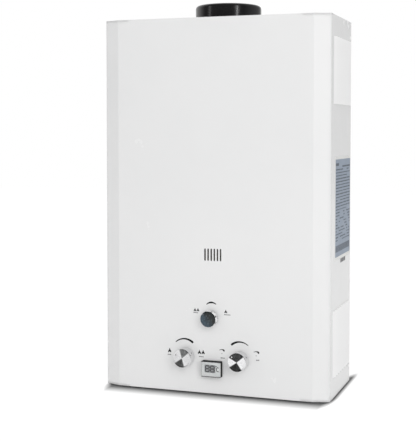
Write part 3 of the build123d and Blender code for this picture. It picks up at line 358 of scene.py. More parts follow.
# The entries of recipes and of every other dictionary for makeFinish:
# tone: colour, drifted colour, then scale and amount of the drift
# rub: colour of worn edges, its share, then radius in metres, gain and scale of the breaks
# dust: colour, amount, scale; gloss: lowest and highest roughness, scale
# grain: effect and its values, then depth in metres and strength of the bump
recipes = {  # by material slot
    "white_enamel": {
        "tone": ((0.8, 0.8, 0.8), (0.775, 0.778, 0.78), 5.0, 0.6),
        "over": paintHoodLight,
        "rub": ((0.55, 0.56, 0.57), 0.12, 0.0012, 1.2, 300.0),
        "dust": ((0.62, 0.6, 0.56), 0.1, 80.0),
        "gloss": (0.2, 0.28, 12.0),
        "grain": ("orangePeel", (420.0, 0.25), 3e-5, 0.35, softBends),
        "IOR": 1.5,
    },
    "copper": {
        "tone": ((0.8, 0.42, 0.27), (0.36, 0.17, 0.11), 22.0, 0.75),
        "over": heatStain,
        "gloss": (0.22, 0.48, 45.0),
        "grain": ("brushLines", ((1, 1, 0.05), 500.0), 2e-5, 0.3),
        "Metallic": 1.0,
    },
    "brass_fitting": {
        "tone": ((0.78, 0.58, 0.26), (0.42, 0.28, 0.12), 60.0, 0.55),
        "rub": ((0.93, 0.76, 0.42), 1.0, 0.0006, 3.0, 500.0),
        "gloss": (0.2, 0.42, 90.0),
        "grain": ("brushLines", ((0.05, 0.05, 1), 900.0), 1e-5, 0.5),
        "Metallic": 1.0,
    },
    "cast_aluminium": {
        "tone": ((0.6, 0.61, 0.62), (0.42, 0.42, 0.42), 45.0, 0.6),
        "rub": ((0.75, 0.76, 0.77), 1.0, 0.0008, 2.5, 350.0),
        "gloss": (0.42, 0.6, 70.0),
        "grain": ("mouldSkin", (700.0,), 0.0001, 0.5),
        "Metallic": 1.0,
    },
    "zinc_screw": {
        "tone": ((0.66, 0.68, 0.7), (0.55, 0.55, 0.5), 220.0, 0.5),
        "rub": ((0.85, 0.86, 0.87), 1.0, 0.0003, 3.0, 900.0),
        "gloss": (0.18, 0.35, 300.0),
        "Metallic": 1.0,
    },
    "rubber_seal": {
        "tone": ((0.025, 0.025, 0.026), (0.05, 0.05, 0.05), 80.0, 0.7),
        "dust": ((0.2, 0.19, 0.18), 0.2, 150.0),
        "gloss": (0.65, 0.85, 120.0),
        "grain": ("mouldSkin", (1200.0,), 5e-5, 0.4),
        "IOR": 1.45,
    },
    "white_ceramic": {
        "tone": ((0.8, 0.78, 0.73), (0.62, 0.56, 0.47), 120.0, 0.4),
        "gloss": (0.12, 0.3, 150.0),
        "grain": ("orangePeel", (900.0, 0.2), 2e-5, 0.3),
        "IOR": 1.55,
    },
    "silver_knob": {
        "tone": ((0.8, 0.8, 0.81), (0.7, 0.7, 0.7), 90.0, 0.5),
        "rub": ((0.92, 0.92, 0.93), 1.0, 0.0004, 2.0, 700.0),
        "gloss": (0.08, 0.17, 150.0),
        "grain": ("brushLines", ((1, 0.03, 1), 1500.0), 1e-5, 0.3),
        "Metallic": 1.0,
    },
    "clear_window": {
        "tone": ((0.96, 0.97, 0.97), (0.9, 0.92, 0.92), 60.0, 0.5),
        "gloss": (0.02, 0.07, 150.0),
        "IOR": 1.45,
        "Transmission_Weight": 1.0,
    },
    "mica": {
        "tone": ((0.46, 0.42, 0.36), (0.22, 0.17, 0.12), 70.0, 0.8),
        "gloss": (0.12, 0.3, 90.0),
        "grain": ("mouldSkin", (200.0,), 5e-5, 0.3),
        "IOR": 1.58,
        "Transmission_Weight": 0.4,
    },
    "lcd_glass": {
        "tone": ((0.82, 0.82, 0.82), (0.74, 0.745, 0.75), 90.0, 0.7),
        "gloss": (0.32, 0.4, 200.0),
        "grain": ("brushLines", ((1, 1, 0.1), 2500.0), 1e-5, 0.3),
        "IOR": 1.5,
    },
}
plastics = {  # colour, drifted colour, lowest and highest roughness, scale of the grain, IOR
    "blackPlastic": ((0.016, 0.016, 0.017), (0.026, 0.026, 0.027), 0.34, 0.5, 1600.0, 1.49),
    "greyPlastic": ((0.2, 0.21, 0.22), (0.25, 0.26, 0.26), 0.4, 0.55, 1400.0, 1.49),
    "brightLand": ((0.93, 0.93, 0.93), (0.9, 0.9, 0.9), 0.1, 0.18, 1500.0, 1.7),
    "dullBlack": ((0.004, 0.004, 0.004), (0.008, 0.008, 0.008), 0.65, 0.8, 1600.0, 1.3),
}


def makePlastic(name):
    colour, drift, low, high, scale, index = plastics[name]
    paler = tuple(min(1.0, 1.6 * part + 0.03) for part in colour)
    own = {
        "tone": (colour, drift, 35.0, 0.6),
        "rub": (paler, 0.5, 0.0005, 1.5, 500.0),
        "dust": ((0.35, 0.34, 0.32), 0.15, 90.0),
        "gloss": (low, high, 80.0),
        "grain": ("mouldSkin", (scale,), 3e-5, 0.5),
    }
    return makeFinish(name, IOR=index, **own)


def makeInk(name, colour, index=1.48):
    own = {
        "tone": (colour, tuple(1.5 * part + 0.01 for part in colour), 180.0, 0.6),
        "gloss": (0.42, 0.56, 160.0),
        "grain": ("orangePeel", (1500.0, 0.4), 1e-5, 0.4),
    }
    return makeFinish(name, IOR=index, **own)


def makeLabelFilm(name, colour):
    own = {
        "tone": (colour, tuple(0.9 * part for part in colour), 30.0, 0.5),
        "rub": ((0.7, 0.7, 0.68), 0.4, 0.0006, 1.5, 400.0),
        "gloss": (0.34, 0.48, 50.0),
        "grain": ("orangePeel", (300.0, 0.2), 2e-5, 0.3),
    }
    return makeFinish(name, IOR=1.46, **own)


spunFace = {
    "edge": 0.05,  # softness of the borders of the painted reflection fans
    "ringScale": 5000.0,
    "ringDepth": 1e-5,
    "ripple": 0.04,  # the rings fray the borders by this
    # each cap: reflectance of its bright fans, then each dark fan: middle and half width in
    # degrees, reflectance; bright and dark fans are painted reflections
    "fire": {"bright": 0.8, "fans": ((73.6, 33.0, 0.14), (250.3, 36.0, 0.075))},
    "water": {"bright": 0.98, "fans": ((96.0, 56.0, 0.048), (259.5, 45.5, 0.032))},
}


def makeSpunMetal(name, own):  # the cap's own axis is its local Z; its fans are painted reflections that turn with the cap
    material = openFinish(name, Metallic=1.0, Anisotropic=0.8)
    tangent = put("Tangent", direction_type="RADIAL", axis="Z")
    paint("Tangent", tangent.outputs[0])
    x, y, _ = split(objectPlace())
    angle = calc("ARCTAN2", y, x)
    rings = use("turnedRings", spunFace["ringScale"])[0]
    ripple = span(rings, 0.0, 1.0, -spunFace["ripple"], spunFace["ripple"])
    patches = span(noise(objectPlace(), 260.0), 0.3, 0.7, 0.6, 1.7)
    colour = (own["bright"], own["bright"], own["bright"] * 1.01)
    for turn, halfWidth, dark in own["fans"]:  # dark fans of painted reflection, drawn over the rings
        away = calc("COSINE", calc("SUBTRACT", angle, radians(turn)))
        limit, edge = cos(radians(halfWidth)), spunFace["edge"]
        shade = span(calc("ADD", away, ripple), limit - edge, limit + edge)
        deep = mixColour(1.0, (dark, dark * 1.02, dark * 1.02), patches, "MULTIPLY")
        colour = mixColour(shade, colour, deep)
    paint("Base Color", colour)
    paint("Roughness", span(rings, 0.3, 0.7, 0.22, 0.36))
    addBump(rings, spunFace["ringDepth"], 0.5)
    return material


darkGlass = {
    "deep": (0.005, 0.008, 0.008),
    # painted sheen: a bluish reflection drawn into the glass's colour
    "sheen": (0.036, 0.062, 0.084),
    "flecks": (0.15, 0.2, 0.22),
    "diagonal": (-0.8, -0.6, 0.0),  # towards the face's lower left
    "range": (-0.004, 0.008),  # of the sheen along the diagonal, metres
    "uneven": 0.016,
    "gloss": (0.1, 0.22, 220.0),
}


def makeDarkCap():  # dark glass with a painted bluish sheen towards its lower left
    material = openFinish("darkCap", IOR=1.4, Coat_Roughness=0.05)
    place = objectPlace()
    along = vectorCalc("DOT_PRODUCT", place, darkGlass["diagonal"])
    cloud = noise(place, 170.0, 4.0, 0.6)
    drift = calc("SUBTRACT", cloud, 0.5)
    lean = calc("MULTIPLY_ADD", drift, darkGlass["uneven"], along)
    paintedSheen = mixColour(span(lean, *darkGlass["range"]), darkGlass["deep"], darkGlass["sheen"])
    flecks = span(noise(place, 420.0), 0.6, 0.74, 0.0, 0.5)
    paint("Base Color", mixColour(flecks, paintedSheen, darkGlass["flecks"]))
    paint("Roughness", use("smudge", *darkGlass["gloss"])[0])
    paint("Coat Weight", span(cloud, 0.3, 0.7, 0.1, 0.4))
    addBump(use("orangePeel", 1200.0, 0.3)[0], 2e-5, 0.3)
    return material


board = {
    "Scale": 220.0,
    "Color1": (0.02, 0.12, 0.05),
    "Color2": (0.03, 0.16, 0.07),
    "Mortar": (0.1, 0.3, 0.14),
}


def makeCircuitBoard():
    material = openFinish("circuitBoard", IOR=1.5)
    cells = put("TexBrick", {"Vector": objectPlace(), **board}, offset=0.5)
    paint("Base Color", cells.outputs["Color"])
    paint("Roughness", use("smudge", 0.3, 0.45, 150.0)[0])
    addBump(cells.outputs["Fac"], 3e-5, 0.5)
    return material


def camelName(slotName):
    first, *others = slotName.split("_")
    return first + "".join(word.capitalize() for word in others)


finishes = {
    "galvanised": makeGalvanised(),
    "black_enamel": makeBlackEnamel(),
    "stainless": makeStainless(),
    "black_plastic": makePlastic("blackPlastic"),
    "grey_plastic": makePlastic("greyPlastic"),
    "spun_metal": makeSpunMetal("spunMetal", spunFace["water"]),
    "dark_cap": makeDarkCap(),
    "circuit_board": makeCircuitBoard(),
}
for slotName, recipe in recipes.items():
    finishes[slotName] = makeFinish(camelName(slotName), **recipe)
for part in frame["record"]["subparts"]:
    node = frame["nodes"][part["node"]]
    finish = finishes[part["material_slot"]]
    if node.material_slots:
        for socket in node.material_slots:
            socket.material = finish
    else:
        node.data.materials.append(finish)
print("finishes:", len(finishes))

# ---- camera
camera = {
    "place": (0.6134, -1.8762, 0.4892),
    "azimuth": 19.15,
    "down": 2.5,
    "frame": 441,  # height in pixels
    "focal": 1024.6,  # pixels
    "horizon": 176.1,  # pixels from the top
    "sensor": 36.0,
    "farEnd": 50.0,
}
data = bpy.data.cameras.new("viewCamera")
data.sensor_width = camera["sensor"]
data.lens = camera["focal"] / camera["frame"] * data.sensor_width
data.shift_y = (camera["horizon"] - camera["frame"] / 2) / camera["frame"]
data.clip_end = camera["farEnd"]
scene.camera = addObject("viewCamera", data)
scene.camera.location = camera["place"]
scene.camera.rotation_euler = (pi / 2 - radians(camera["down"]), 0, radians(camera["azimuth"]))


# ---- mesh helpers
def meshFrom(build, name):
    shape = bmesh.new()
    build(shape)
    bmesh.ops.recalc_face_normals(shape, faces=shape.faces)
    mesh = bpy.data.meshes.new(name)
    shape.to_mesh(mesh)
    shape.free()
    return mesh


def addPiece(name, build, slotName, finish=None, body="case", smooth=30.0):
    mesh = meshFrom(build, name)
    mesh.validate()
    piece = addObject(name, mesh)
    mesh.materials.append(finish or finishes[slotName])
    if smooth:
        mesh.shade_smooth()
        mesh.set_sharp_from_angle(angle=radians(smooth))
    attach(piece, body)
    return piece


def faceForward(piece, x, y, z):  # local Z out of the front, local Y up
    piece.matrix_world = Matrix.Translation((x, y, z)) @ Matrix.Rotation(pi / 2, 4, "X")


def loft(shape, loops, closed=False):  # faces between closed loops of vertices
    for loop, following in zip(loops, loops[1:] + (loops[:1] if closed else [])):
        for i in range(len(loop)):
            j = (i + 1) % len(loop)
            corners = (loop[i], loop[j], following[j], following[i])
            shape.faces.new(list(dict.fromkeys(corners)))


def slab(shape, outline, low, high, opening=None):  # outlines are (x, z) in mm, depths in metres
    def line(points, y):
        return [shape.verts.new((x * mm, y, z * mm)) for x, z in points]

    if opening:  # with as many points as the outline
        loops = [line(outline, low), line(opening, low), line(opening, high), line(outline, high)]
        loft(shape, loops, True)
    else:
        front, rear = line(outline, low), line(outline, high)
        loft(shape, [front, rear])
        shape.faces.new(front)
        shape.faces.new(rear[::-1])


def block(shape, left, foot, right, top, low, high):
    slab(shape, [(left, foot), (right, foot), (right, top), (left, top)], low, high)


def band(shape, points, widths, low, high):  # strip along a line, with its own width at each point
    left, right = [], []
    for i, (x, z) in enumerate(points):
        before, after = points[max(i - 1, 0)], points[min(i + 1, len(points) - 1)]
        run = Vector((after[0] - before[0], after[1] - before[1])).normalized() * widths[i] / 2
        left.append((x - run.y, z + run.x))
        right.append((x + run.y, z - run.x))
    slab(shape, left + right[::-1], low, high)


def arc(x, z, across, up, first, last, steps):  # in degrees
    turns = [radians(first + (last - first) * i / steps) for i in range(steps + 1)]
    return [(x + across * cos(turn), z + up * sin(turn)) for turn in turns]


def roundedOutline(left, foot, right, top, radius):
    corners = ((right - radius, top - radius), (left + radius, top - radius))
    corners += ((left + radius, foot + radius), (right - radius, foot + radius))
    outline = []
    for i, (x, z) in enumerate(corners):
        outline += arc(x, z, radius, radius, 90 * i, 90 * i + 90, 5)
    return outline


def around(shape, radius, turn, height):
    return shape.verts.new((radius * cos(turn), radius * sin(turn), height))


def spin(shape, profile, steps):  # (radius, height) points turned round local Z
    turns = [2 * pi * i / steps for i in range(steps)]
    loops = []
    for radius, height in profile:
        if radius < 1e-7:
            loops.append([around(shape, 0.0, 0.0, height)] * steps)
        else:
            loops.append([around(shape, radius, turn, height) for turn in turns])
    loft(shape, loops)


def sweepSector(shape, middle, half, profile, steps=6):  # closed profile, over degrees
    loops = []
    for i in range(steps + 1):
        turn = radians(middle + half * (2 * i / steps - 1))
        loops.append([around(shape, radius, turn, height) for radius, height in profile])
    loft(shape, loops)
    shape.faces.new(loops[0][::-1])
    shape.faces.new(loops[-1])


print("camera and helpers ready")

# ---- spun caps and position dots of the knobs
knobFaces = {
    "steps": 128,
    "rim": 0.0005,  # chamfer at the edge
    "dish": 0.00035,  # face lower than its rim
    "dished": 0.93,  # share of the radius where the dish ends
    "slope": 0.0006,  # from the dish up to the rim
    "crown": 0.0006,  # rise of the season knob's glass
    "crowned": 0.97,
    "glassEdge": 0.0003,
    # each dot: hour on the dial, reach, radius, then heights of middle and edge, and depth
    "fire": (9.85, 0.0133, 0.001, 0.00015, 0.00015, 0.0002),
    "water": (10.5, 0.0133, 0.0012, 0.00015, 0.00015, 0.0002),
    "season": (10.4, 0.0116, 0.0014, 0.0001, 0.0, 0.0006),
    # round the glass: count, middle and half width in degrees, front, depth, swell, sheet
    "lands": (8, 43.0, 15.5, 0.0012, 0.008, 0.0004, 0.0008),
    # dark plugs in the notches between the lands, which paint the notches' shade
    "notchShade": (8, 20.5, 5.5, 0.0011, 0.006, 0.0003, 0.001),
}


def makeKnobFace(knob, capName, profile, capSlot, finish, dotSlot, sunk, smooth=30.0):
    node, body = knob + "_knob_cap", knob + "_control"
    (low, high), (x, _, z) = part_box(node), middleOf(node)

    def buildCap(shape):
        spin(shape, profile, knobFaces["steps"])

    def buildDot(shape):
        spin(shape, [(0, middle), (radius, edge), (radius, -deep), (0, -deep)], 24)

    cap = addPiece(capName, buildCap, capSlot, finish, body, smooth)
    faceForward(cap, x, high.y, z)
    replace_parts(cap, node)
    hour, reach, radius, middle, edge, deep = knobFaces[knob]
    dot = addPiece(knob + "PositionDot", buildDot, dotSlot, None, body)
    angle = radians(90 - 30 * hour)
    faceForward(dot, x + reach * cos(angle), low.y + sunk, z + reach * sin(angle))


def capSize(knob):  # thickness and radius
    low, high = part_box(knob + "_knob_cap")
    return high.y - low.y, (high.x - low.x) / 2


def makeFlatCap(knob, dotSlot):
    (thick, radius), (rim, dish) = capSize(knob), pick(knobFaces, "rim dish")
    wall, face = radius * knobFaces["dished"], thick - dish
    profile = [(0, face), (radius * 0.06, face), (wall - knobFaces["slope"], face)]
    profile += [(wall, thick - rim * 0.2), (radius - rim, thick), (radius, thick - rim)]
    profile += [(radius, 0), (0, 0)]
    finish = makeSpunMetal(knob + "SpunMetal", spunFace[knob])
    makeKnobFace(knob, knob + "SpunCap", profile, "spun_metal", finish, dotSlot, dish, 20.0)


def makeSeasonCap():
    (thick, radius), crown = capSize("season"), knobFaces["crown"]
    wide = radius * knobFaces["crowned"]
    profile = [(wide * i / 12, thick - crown * (i / 12) ** 2) for i in range(13)]
    profile += [(radius, thick - crown - knobFaces["glassEdge"]), (radius, 0), (0, 0)]
    sunk = crown * (knobFaces["season"][1] / wide) ** 2 + 0.0001
    makeKnobFace("season", "seasonGlassCap", profile, "dark_cap", None, "silver_knob", sunk)


def makeSeasonRim(kind, slotName, finish=None):  # bright lands round the glass, and dark plugs that paint the shade in the notches
    x, _, z = middleOf("season_knob_cap")
    knobLow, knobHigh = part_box("season_knob")
    inner, outer = capSize("season")[1], (knobHigh.x - knobLow.x) / 2
    count, middle, half, front, deep, swell, sheet = knobFaces[kind]
    profile = [(inner + swell, -front), (outer + swell, -deep)]
    profile += [(outer - sheet, -deep), (inner - sheet, -front)]

    def build(shape):
        for i in range(count):
            sweepSector(shape, middle + 360 * i / count, half, profile)

    rim = addPiece("season" + kind.capitalize(), build, slotName, finish, "season_control")
    faceForward(rim, x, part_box("season_knob_cap")[0].y, z)


makeFlatCap("fire", "black_plastic")
makeFlatCap("water", "silver_knob")
makeSeasonCap()
makeSeasonRim("lands", "silver_knob", makePlastic("brightLand"))
# painted shade in the notches
makeSeasonRim("notchShade", "black_plastic")
print("knob faces made")

# ---- printed signs on the cover
signs = {  # in mm
    "raise": 0.08,  # ink stands this far out of the enamel
    "sink": 0.3,
    "arcs": [  # start, top, end, then widths at start, middle and end
        ((-12.4, 166.6), (-3.0, 170.9), (6.8, 167.6), 1.3, 3.5, 1.3),
        ((-73.6, 92.1), (-57.4, 99.3), (-38.8, 92.6), 1.7, 2.8, 4.4),
        ((36.2, 93.5), (52.6, 100.4), (69.4, 94.3), 4.4, 2.8, 1.2),
    ],
    # middle x, z, number of flames, height
    "flames": [
        (-86.0, 75.9, 1, 8.0), (-22.6, 76.8, 2, 7.8), (-32.1, 156.0, 2, 6.2), (25.6, 155.9, 1, 6.4),
    ],
    "flameWide": 0.4,
    "flamePitch": 0.95,
    "taps": [(18.3, 82.9, 10.4), (85.0, 83.6, 10.8)],  # middle x, z, width
    "drops": (-1.1, 0.0),
    "drop": (0.5, -7.5, -5.8),  # width, foot and top
    "captions": [  # middle x, z, length
        (-86.5, 66.6, 7.0), (-23.0, 66.8, 8.5), (19.8, 67.3, 8.5),
        (87.6, 68.1, 6.5), (-33.3, 149.3, 9.5), (28.6, 148.6, 12.5),
    ],
    "captionTall": 1.9,
}
signDepths = frontY - signs["raise"] * mm, frontY + signs["sink"] * mm


def flameOutline(x, z, tall):  # teardrop with a bite at its foot
    half = tall * signs["flameWide"]
    side = [(0.34, 0.12), (0.62, -0.02), (0.98, -0.3), (1.0, -0.52), (0.5, -0.55), (0.34, -0.44)]
    points = [(0, 0.55), *side, (0.0, -0.34), *((-u, v) for u, v in side[::-1])]
    return [(x + half * u, z + tall * v) for u, v in points]


def tapOutline(x, z, wide):  # spout to the left, handle and body to the right
    points = [(-0.5, -0.07), (-0.48, 0.02), (-0.24, 0.13), (0.04, 0.17), (0.2, 0.17)]
    points += [(0.4, 0.12), (0.5, -0.02), (0.5, -0.2), (0.36, -0.26), (0.22, -0.14)]
    points += [(0.1, -0.01), (-0.06, 0.03), (-0.26, 0.01), (-0.42, -0.04)]
    return [(x + wide * u, z + wide * v) for u, v in points]


def arcThrough(start, top, end, steps=24):
    a, b, c = (complex(*point) for point in (start, top, end))
    bend = (c - a) / (b - a)
    centre = a - (a - b) * (bend - abs(bend) ** 2) / 2j / bend.imag
    first, last = (degrees(atan2((p - centre).imag, (p - centre).real)) for p in (a, c))
    return arc(centre.real, centre.imag, abs(a - centre), abs(a - centre), first, last, steps)


def buildSigns(shape):
    for start, top, end, first, middle, final in signs["arcs"]:
        points = arcThrough(start, top, end)
        last = len(points) - 1
        widths = []
        for i in range(last + 1):
            share = 2 * i / last
            grown = first + (middle - first) * share
            wide = grown if share < 1 else middle + (final - middle) * (share - 1)
            widths.append(wide * min(1.0, 0.6 + 8 * min(i, last - i) / last))  # blunt ends
        band(shape, points, widths, *signDepths)
    for x, z, count, tall in signs["flames"]:
        for i in range(count):
            place = x + (i - (count - 1) / 2) * tall * signs["flamePitch"]
            slab(shape, flameOutline(place, z, tall), *signDepths)
    for tap in signs["taps"]:
        slab(shape, tapOutline(*tap), *signDepths)


def buildCaptions(shape):
    for x, z, length in signs["captions"]:
        at = x - length / 2
        while at < x + length / 2 - 0.5:
            dash = random.uniform(0.7, 1.3)
            rise = signs["captionTall"] * random.uniform(0.7, 1.0)
            block(shape, at, z, at + dash, z + rise, *signDepths)
            at += dash + random.uniform(0.3, 0.5)
    wide, foot, top = signs["drop"]
    for x, z, _ in signs["taps"]:  # drops under the spout
        for drop in signs["drops"]:
            block(shape, x + drop, z + foot, x + drop + wide, z + top, *signDepths)


signInk = makeInk("signInk", (0.004, 0.004, 0.005), 1.25)
captionInk = makeInk("captionInk", (0.045, 0.045, 0.048), 1.3)
addPiece("printedSigns", buildSigns, "black_plastic", signInk, smooth=0)
addPiece("printedCaptions", buildCaptions, "grey_plastic", captionInk, smooth=0)
print("signs printed")

# ---- display: slim housing with its frame, pane and card
display = {  # in mm
    "middle": (0.0, 47.5),  # x and z
    "size": (38.5, 29.0),
    "wall": 1.0,
    "play": 0.05,
    "corner": 1.2,
    "innerCorner": 0.3,
    "pane": (0.1, 1.4),  # front and rear behind the housing's face
    "card": 2.0,
    "frame": (-20.5, 32.0, 22.5, 64.8),  # left, foot, right, top of the flat frame on the cover
    "frameCorner": 1.5,
    "frameDepths": (-0.5, 0.2),  # from the cover's face
}


def displayEdges(inset):
    (x, z), (wide, tall) = display["middle"], display["size"]
    return x - wide / 2 + inset, z - tall / 2 + inset, x + wide / 2 - inset, z + tall / 2 - inset


def displayOutline(inset, corner="innerCorner"):
    return roundedOutline(*displayEdges(inset), display[corner])


hoodLow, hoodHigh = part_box("display_housing")
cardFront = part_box("display_panel")[0].y
wall, play = pick(display, "wall play")
frameLine = roundedOutline(*display["frame"], display["frameCorner"])
paneDepths = [hoodLow.y + depth * mm for depth in display["pane"]]
cardDepths = cardFront, cardFront + display["card"] * mm
frameDepths = [frontY + depth * mm for depth in display["frameDepths"]]
displayPieces = [  # finish's slot, replaced node, depths, outline, opening
    ("Hood", "black_plastic", "display_housing", (hoodLow.y, hoodHigh.y),
     displayOutline(0, "corner"), displayOutline(wall)),
    ("Pane", "clear_window", "display_window", paneDepths, displayOutline(wall + 2 * play), None),
    ("Card", "lcd_glass", "display_panel", cardDepths, displayOutline(wall + play), None),
    ("Frame", "white_enamel", None, frameDepths, frameLine, displayOutline(play, "corner")),
]


def buildDisplayPart(shape):  # the one that the loop has come to
    slab(shape, outline, *depths, opening)


for name, slotName, replaced, depths, outline, opening in displayPieces:
    finish = makePlastic("dullBlack") if name == "Hood" else None
    piece = addPiece("display" + name, buildDisplayPart, slotName, finish)
    if replaced:
        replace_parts(piece, replaced)
print("display made")

# ---- digits on the display, and painted highlights on its upright rims
digits = {  # in mm
    "count": 2,
    "left": -12.0,
    "foot": 41.7,
    "tall": 11.2,  # between the middles of the strokes
    "wide": 7.2,
    "gap": 2.8,
    "stroke": 2.0,
    "cut": 0.22,  # between strokes
    "field": (-12.5, 41.2, 8.4, 55.5),  # darker field of the two figures
    "letter": (13.1, 47.8, 2.4, 3.8, 50, 310, 20),  # middle and radii of the C, ends, steps
    "letterStroke": 1.3,
    "degree": (9.9, 53.6, 0.9, 0.9, 0, 360, 16),
    "degreeStroke": 0.7,
    "layer": 0.06,
    # strips of painted highlight on the upright rims: width, then inset
    "glintWide": 0.9,
    "glintInset": 1.0,  # from the housing's upper and lower edge
}


def strokeOutline(start, end, left, foot):
    half, cut = digits["stroke"] / 2, digits["cut"]
    ahead = (Vector(end) - Vector(start)).normalized()
    side = Vector((-ahead.y, ahead.x)) * half
    first, last = Vector(start) + ahead * cut, Vector(end) - ahead * cut
    outline = [first, first + ahead * half + side, last - ahead * half + side, last]
    outline += [last - ahead * half - side, first + ahead * half - side]
    return [(left + p.x, foot + p.y) for p in outline]


def displayLayer(layer):  # front and rear of a printed layer on the panel
    return cardFront - layer * digits["layer"] * mm, cardFront + 0.0001


def buildDigits(shape):
    wide, tall = digits["wide"], digits["tall"]
    levels = (0, tall / 2, tall)
    strokes = [((0, z), (wide, z)) for z in levels]
    strokes += [((x, z), (x, z + tall / 2)) for x in (0, wide) for z in levels[:2]]
    for i in range(digits["count"]):
        left = digits["left"] + digits["stroke"] / 2 + i * (wide + digits["gap"])
        for start, end in strokes:
            outline = strokeOutline(start, end, left, digits["foot"] + digits["stroke"] / 2)
            slab(shape, outline, *displayLayer(2))


def buildDigitField(shape):
    block(shape, *digits["field"], *displayLayer(1))


def buildUnit(shape):
    for sign in ("degree", "letter"):
        points = arc(*digits[sign])
        band(shape, points, [digits[sign + "Stroke"]] * len(points), *displayLayer(2))


def buildDisplayRimGlint(shape):  # painted highlights: light grey strips on the two upright rims of the housing
    left, foot, right, top = displayEdges(play)
    wide, inset = digits["glintWide"], digits["glintInset"]
    depths = hoodLow.y - 5e-5, hoodLow.y + 0.0002
    for edge in (left, right - wide):
        block(shape, edge, foot + inset, edge + wide, top - inset, *depths)


panelInks = {
    # the first strip paints the rims' highlights
    "displayRimGlint": (buildDisplayRimGlint, "rimGlintInk", (0.52, 0.52, 0.52), "silver_knob"),
    "digitField": (buildDigitField, "fieldInk", (0.27, 0.27, 0.28), "lcd_glass"),
    "displayDigits": (buildDigits, "segmentInk", (0.016, 0.017, 0.02), "lcd_glass"),
    "displayUnit": (buildUnit, "unitInk", (0.012, 0.013, 0.015), "lcd_glass"),
}
for name, (build, inkName, colour, slotName) in panelInks.items():
    addPiece(name, build, slotName, makeInk(inkName, colour), smooth=0)
print("display digits made")

# ---- data label on the right side, ruled but without words
label = {  # y and z in mm
    "near": -33.0,  # printed field
    "far": 100.0,
    "foot": 257.0,
    "top": 437.5,
    "edge": 5.0,  # white round the field
    "sheetFar": 104.0,
    "sheet": (-0.0002, 0.00018),  # from the side, metres
    "layer": 6e-5,
    "margin": 3.0,
    # blocks at the head: near and far from the near edge, foot and top from the top
    "heads": [(3.0, 28.0, -12.0, -7.0), (60.0, 130.0, -15.0, -12.0)],
    "firstRow": 19.0,  # below the top
    "lastRow": 27.0,  # above the foot
    "rowPitch": 5.7,
    "rowTall": 2.0,
    "gaps": (0.1, 0.4),  # share of words left out above and below the middle
    "table": (-30, 92, 9),  # y from, to and pitch of the boxes near the foot
    "tableWide": 6.6,
    "tableZ": (9.0, 21.0),
    "bars": (14.0, 60.0, 3, 0.86),  # from, to, count and filled share
    "barZ": (243.0, 250.5),
}


def sideBlock(shape, inner, outer, near, far, foot, top):  # x in metres, edges in mm
    edges = ((near, foot), (far, foot), (far, top), (near, top))
    ends = [[shape.verts.new((x, y * mm, z * mm)) for y, z in edges] for x in (inner, outer)]
    loft(shape, ends)
    shape.faces.new(ends[0])
    shape.faces.new(ends[1][::-1])


def labelLayer(shape, layer, *edges):
    face = sideX + label["sheet"][1]
    sideBlock(shape, face - 0.0001, face + layer * label["layer"], *edges)


def buildLabelSheet(shape):
    near, far, foot, top, edge = pick(label, "near sheetFar foot top edge")
    inner, outer = (sideX + depth for depth in label["sheet"])
    sideBlock(shape, inner, outer, near - edge, far, foot - edge, top + edge)


def buildLabelField(shape):
    labelLayer(shape, 1, *pick(label, "near far foot top"))


def buildLabelRows(shape):
    near, far, foot, top, margin = pick(label, "near far foot top margin")
    for first, last, low, high in label["heads"]:
        labelLayer(shape, 2, near + first, near + last, top + low, top + high)
    middle, z = (top + foot) / 2, top - label["firstRow"]
    while z > foot + label["lastRow"]:
        tall = label["rowTall"] * random.uniform(0.8, 1.15)
        upper = z > middle
        at, gaps = near + margin, label["gaps"][0 if upper else 1]
        while at < far - 5:
            stop = min(at + random.uniform(14, 40) * (1.0 if upper else 0.5), far - margin)
            if at < near + 2 * margin or random.random() > gaps:
                labelLayer(shape, 2, at, stop, z - tall / 2, z + tall / 2)
            at = stop + random.uniform(1.2, 3.0)
        z -= label["rowPitch"]
    low, high = label["tableZ"]
    for at in range(*label["table"]):
        labelLayer(shape, 2, at, at + label["tableWide"], foot + low, foot + high)


def buildBlankBar(shape):  # blank blocks under the label
    low, high, count, filled = label["bars"]
    step = (high - low) / count
    for i in range(count):
        near, far = low + i * step, low + (i + filled) * step
        sideBlock(shape, sideX - 0.0002, sideX + 0.0001, near, far, *label["barZ"])


film, blue = (0.8, 0.8, 0.78), (0.255, 0.315, 0.405)
ink, barInk = (0.05, 0.068, 0.095), (0.1, 0.1, 0.105)
labelPieces = {
    "labelSheet": (buildLabelSheet, "white_enamel", makeLabelFilm("labelFilm", film)),
    "labelField": (buildLabelField, "grey_plastic", makeLabelFilm("labelBlue", blue)),
    "labelRows": (buildLabelRows, "black_plastic", makeInk("labelInk", ink)),
    "blankBar": (buildBlankBar, "grey_plastic", makeInk("barInk", barInk)),
}
for name, details in labelPieces.items():
    addPiece(name, *details, smooth=0)
print("label made")

# ---- pipe fittings with cut threads
fitting = {
    "crest": 0.01045,
    "root": 0.0094,
    "pitch": 0.00181,
    "steps": 48,
    "bore": 0.007,
    "threadLength": 0.028,
    "nut": (0.028, 0.036, 0.016),  # foot, top, reach, from the lower end
    "collar": (0.039, 0.042, 0.015),
    "bevel": 0.0008,
}


